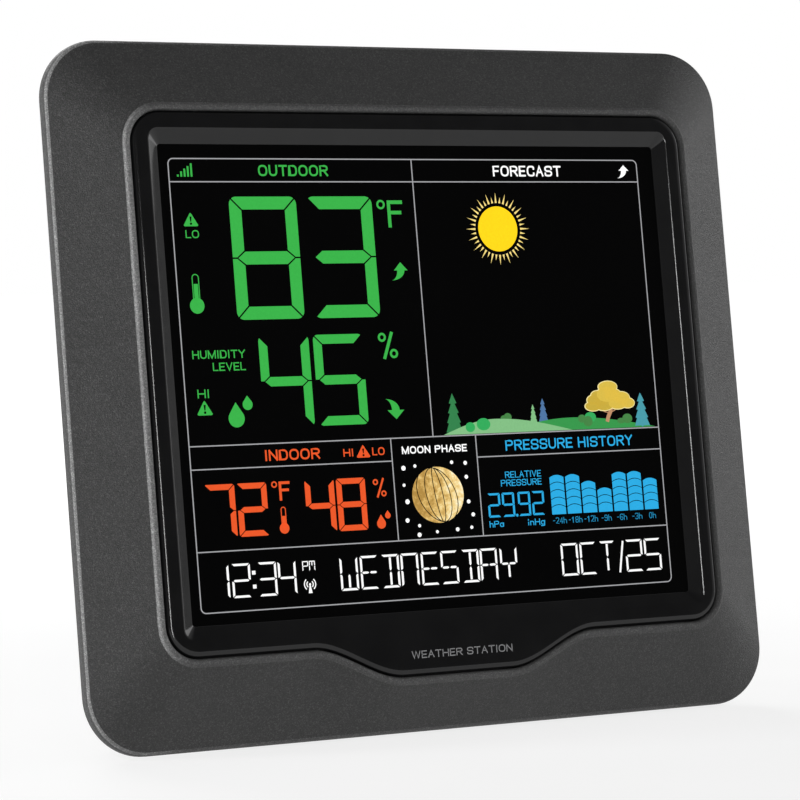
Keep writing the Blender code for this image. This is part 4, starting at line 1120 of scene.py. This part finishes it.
def make_pressure():
    """The pressure reading and its history as bars of arched blocks."""
    art = Art(lit_film("blue_film", BLUE, 0.92), lit_film("dim_blue_film", scaled(BLUE, 0.58)))
    art.words("PRESSURE HISTORY", (20.2, 57.3), (-17.2, -14.6), 0.15)
    art.words("RELATIVE", (19.4, 29.7), (-23.9, -22.3), 0.128)
    art.words("PRESSURE", (18.05, 29.7), (-25.9, -24.3), 0.128)
    placed = zip("2992", (13.9, 17.95, 22.5, 26.5), [3.5] * 4)
    art.digits(placed, (-33.35, -27.45), (0.55, 0.5), 0.12, 0.3)
    art.disc(21.95, -33.1, 0.35, steps=12)
    art.words("hPa", (13.9, 17.9), UNIT_ROW, 0.145)
    art.words("inHg", (24.8, 29.7), UNIT_ROW, 0.145)
    ticks = [i / 4 - 1 for i in range(9)]
    for k, (blocks, label) in enumerate(HISTORY):
        middle = BAR_LEFT + BAR_PITCH * k + BAR_WIDTH / 2
        for level in range(blocks):
            foot = BAR_FOOT + BLOCK_STEP * level
            top = foot + BLOCK_STEP - BLOCK_GAP
            points = []
            rise = BLOCK_ARCH if level else 0
            for base, arch, order in ((foot, rise, ticks), (top, BLOCK_ARCH, ticks[::-1])):
                points += [(middle + t * BAR_WIDTH / 2, base + arch * (1 - t * t)) for t in order]
            art.shape(points)
        half = 0.50 * len(label)
        art.words(label, (middle - half, middle + half), UNIT_ROW, 0.11, 1)
    art.done("pressure_panel")


CLOCK_ROWS = (  # characters, their left edges and widths
    ("1234", (-62.55, -56.95, -50.1, -44.8), (4.85, 4.85, 4.85, 4.7)),
    ("WEDNESDAY", (-28.3, -22.8, -17.0, -11.7, -6.1, -0.65, 5.2, 10.4, 16.05), [4.8] * 9),
    ("OCT25", (33.6, 39.1, 44.8, 52.5, 58.1), (4.9, 4.7, 4.6, 5.0, 4.9)),
)
CLOCK_FOOT = -48.7
MAST = (-36.6, -46.6)


def make_clock():
    """Time, weekday and date, with the mark for radio time: a mast with two pairs of waves."""
    art = Art(lit_film("clock_white_film", WHITE))
    for row in CLOCK_ROWS:
        art.digits(zip(*row), (CLOCK_FOOT, -40.75), (0.54, 0.52), 0.26, 0.35)
    art.digits((("P", -38.3, 1.6), ("M", -36.5, 1.6)), (-43.45, -41.1), (0.24, 0.24), 0.05, 0.1)
    for z in (-43.05, -46.3):
        art.box(-51.65, z - 0.45, -50.75, z + 0.45)
    x, z = MAST
    art.shape([(x - 0.5, CLOCK_FOOT), (x + 0.5, CLOCK_FOOT), (x + 0.12, z), (x - 0.12, z)])
    art.disc(x, z, 0.28, steps=12)
    for radius in (0.85, 1.5):
        for middle in (0, 180):
            art.band(arc_points(x, z, radius, middle - 50, middle + 50, 12), 0.26)
    art.band([(50.45, CLOCK_FOOT), (51.9, -40.95)], 0.5)
    art.done("clock_and_date")


def make_lobe_words():
    """A plain description on the lobe of the surround."""
    art = Art(grained("print_grey", (0.42, 0.42, 0.43), 0.5, 0.3, 0.001, 0.08), back=PRINT_BACK)
    art.words("WEATHER STATION", (-13.0, 15.0), (-66.0, -64.2), 0.14)
    art.done("surround_print")


# --- CAD nodes that stay: finish and softened edges ---

def dress_nodes():
    """Every CAD node gets the material of its slot, and the window its clear one."""
    slots = {part["node"]: part["material_slot"] for part in frame["record"]["subparts"]}
    for name, node in NODES.items():
        material = window_clear() if name == "display_window" else SLOT_MATERIALS[slots[name]]
        node.data.materials.clear()
        node.data.materials.append(material)
        for polygon in node.data.polygons:
            polygon.material_index = 0


SOFT_EDGES = {  # radius in millimetres and steps
    "rear_cover": (0.5, 2), "battery_door": (0.35, 2), "stand_leg": (0.6, 2),
    **{f"button_{number}": (0.45, 3) for number in range(1, 7)},
    "foot_left": (0.5, 2), "foot_right": (0.5, 2),
}


def soften_edges():
    """Merges each outer part's flat triangles back into plain faces and rounds its sharp edges."""
    for name, (radius, steps) in SOFT_EDGES.items():
        flat = NODES[name].modifiers.new("flat_faces", "DECIMATE")
        flat.decimate_type = "DISSOLVE"
        flat.angle_limit = math.radians(1.0)
        edge = NODES[name].modifiers.new("edge_round", "BEVEL")
        edge.width = radius * MM
        edge.segments = steps
        edge.limit_method = "ANGLE"
        edge.angle_limit = math.radians(35)


# --- Studio ---

def make_floor():
    """A pale floor that glows to white away from the object and stays dim for the light it throws back."""
    shader = Shader("floor_paint", Roughness=0.9, Specular_IOR_Level=0.1, Emission_Color=(1, 1, 1, 1))
    shader.set(Base_Color=shader.cloud(60, 3.0, grey(0.24), grey(0.26)))
    far = shader.add("ShaderNodeVectorMath", {0: shader.coordinates}, operation="LENGTH").outputs["Value"]
    glow = shader.spread(far, (0.15, 0.8), (0.80, 1.0))
    ray = shader.add("ShaderNodeLightPath").outputs
    for kind, share in (("Is Diffuse Ray", 0.17), ("Is Glossy Ray", 0.75)):
        glow = shader.product(glow, shader.spread(ray[kind], (0, 1), (1.0, share)))
    shader.set(Emission_Strength=glow)
    bm = bmesh.new()
    bmesh.ops.create_grid(bm, x_segments=2, y_segments=2, size=3.0)
    mesh_object("studio_floor", bm, [shader.material])


def make_world():
    """White behind the object, dim and even for light, and for reflections brightest on the right."""
    world = bpy.data.worlds.new("studio")
    bpy.context.scene.world = world
    world.use_nodes = True
    world.node_tree.nodes.clear()
    nodes = Nodes(world.node_tree, "Generated")
    stops = ((0.0, 0.23), (0.30, 0.13), (0.62, 0.075), (0.80, 0.09), (0.97, 0.56))
    place = nodes.spread(nodes.across(), (-1.0, 1.0), (0.0, 1.0))
    mirrored = nodes.ramp(place, *((position, grey(level)) for position, level in stops))
    ray = nodes.add("ShaderNodeLightPath").outputs
    shown = nodes.add("ShaderNodeBackground", {"Color": (*grey(0.18), 1)}).outputs["Background"]
    for kind, colour in (("Is Glossy Ray", mirrored), ("Is Camera Ray", (1, 1, 1, 1))):
        other = nodes.add("ShaderNodeBackground", {"Color": colour}).outputs["Background"]
        shown = nodes.add("ShaderNodeMixShader", {"Fac": ray[kind], 1: shown, 2: other}).outputs["Shader"]
    nodes.add("ShaderNodeOutputWorld", {"Surface": shown})


AIM = (cad_box[0] + cad_box[1]) / 2 + Vector((0, -0.4, -3.7)) * MM
CAMERA_AZIMUTH = -29.6
CAMERA_ELEVATION = 3.63
CAMERA_DISTANCE = 0.8324
LIGHTS = (  # name, azimuth, elevation, distance, size, power, whether it shows in reflections
    ("key_right", 90, 8, 1.1, (0.7, 0.7), 2.45, True),
    ("front_strip", -4, 6, 1.5, (0.06, 0.60), 2.4, True),
    ("front_left", -24, 12, 1.5, (0.35, 0.35), 2.8, False),
    ("front_low", -30, -3, 1.5, (0.35, 0.35), 1.0, False),
    ("left_grazing", -102, 3, 1.2, (0.22, 0.5), 13.0, True),
    ("rear", 180, 35, 1.4, (1.0, 0.8), 9.0, True),
)


def aim_from(name, data, azimuth, elevation, distance):
    """Places a light or camera that looks at AIM. Azimuth 0 is in front of the object, positive right."""
    a = math.radians(azimuth)
    e = math.radians(elevation)
    direction = Vector((math.sin(a) * math.cos(e), -math.cos(a) * math.cos(e), math.sin(e)))
    obj = add_object(name, data)
    obj.location = AIM + direction * distance
    obj.rotation_mode = "QUATERNION"
    obj.rotation_quaternion = direction.to_track_quat("Z", "Y")
    return obj


def make_camera():
    data = bpy.data.cameras.new("camera")
    data.sensor_width = 36.0
    data.lens = 152.5
    data.clip_start = 0.01
    data.clip_end = 20.0
    bpy.context.scene.camera = aim_from("camera", data, CAMERA_AZIMUTH, CAMERA_ELEVATION, CAMERA_DISTANCE)


def make_lights():
    for name, azimuth, elevation, distance, size, power, reflected in LIGHTS:
        lamp = bpy.data.lights.new(name, "AREA")
        lamp.shape = "RECTANGLE"
        lamp.size, lamp.size_y = size
        lamp.energy = power
        light = aim_from(name, lamp, azimuth, elevation, distance)
        light.visible_glossy = reflected
        light.visible_camera = False


dress_nodes()
make_shells()
make_cells()
make_contacts()
make_button_rims()
make_lines()
make_outdoor()
make_indoor()
make_forecast()
make_landscape()
make_moon()
make_pressure()
make_clock()
make_lobe_words()
soften_edges()
make_floor()
make_world()
make_camera()
make_lights()
bpy.context.scene.view_settings.view_transform = "Standard"
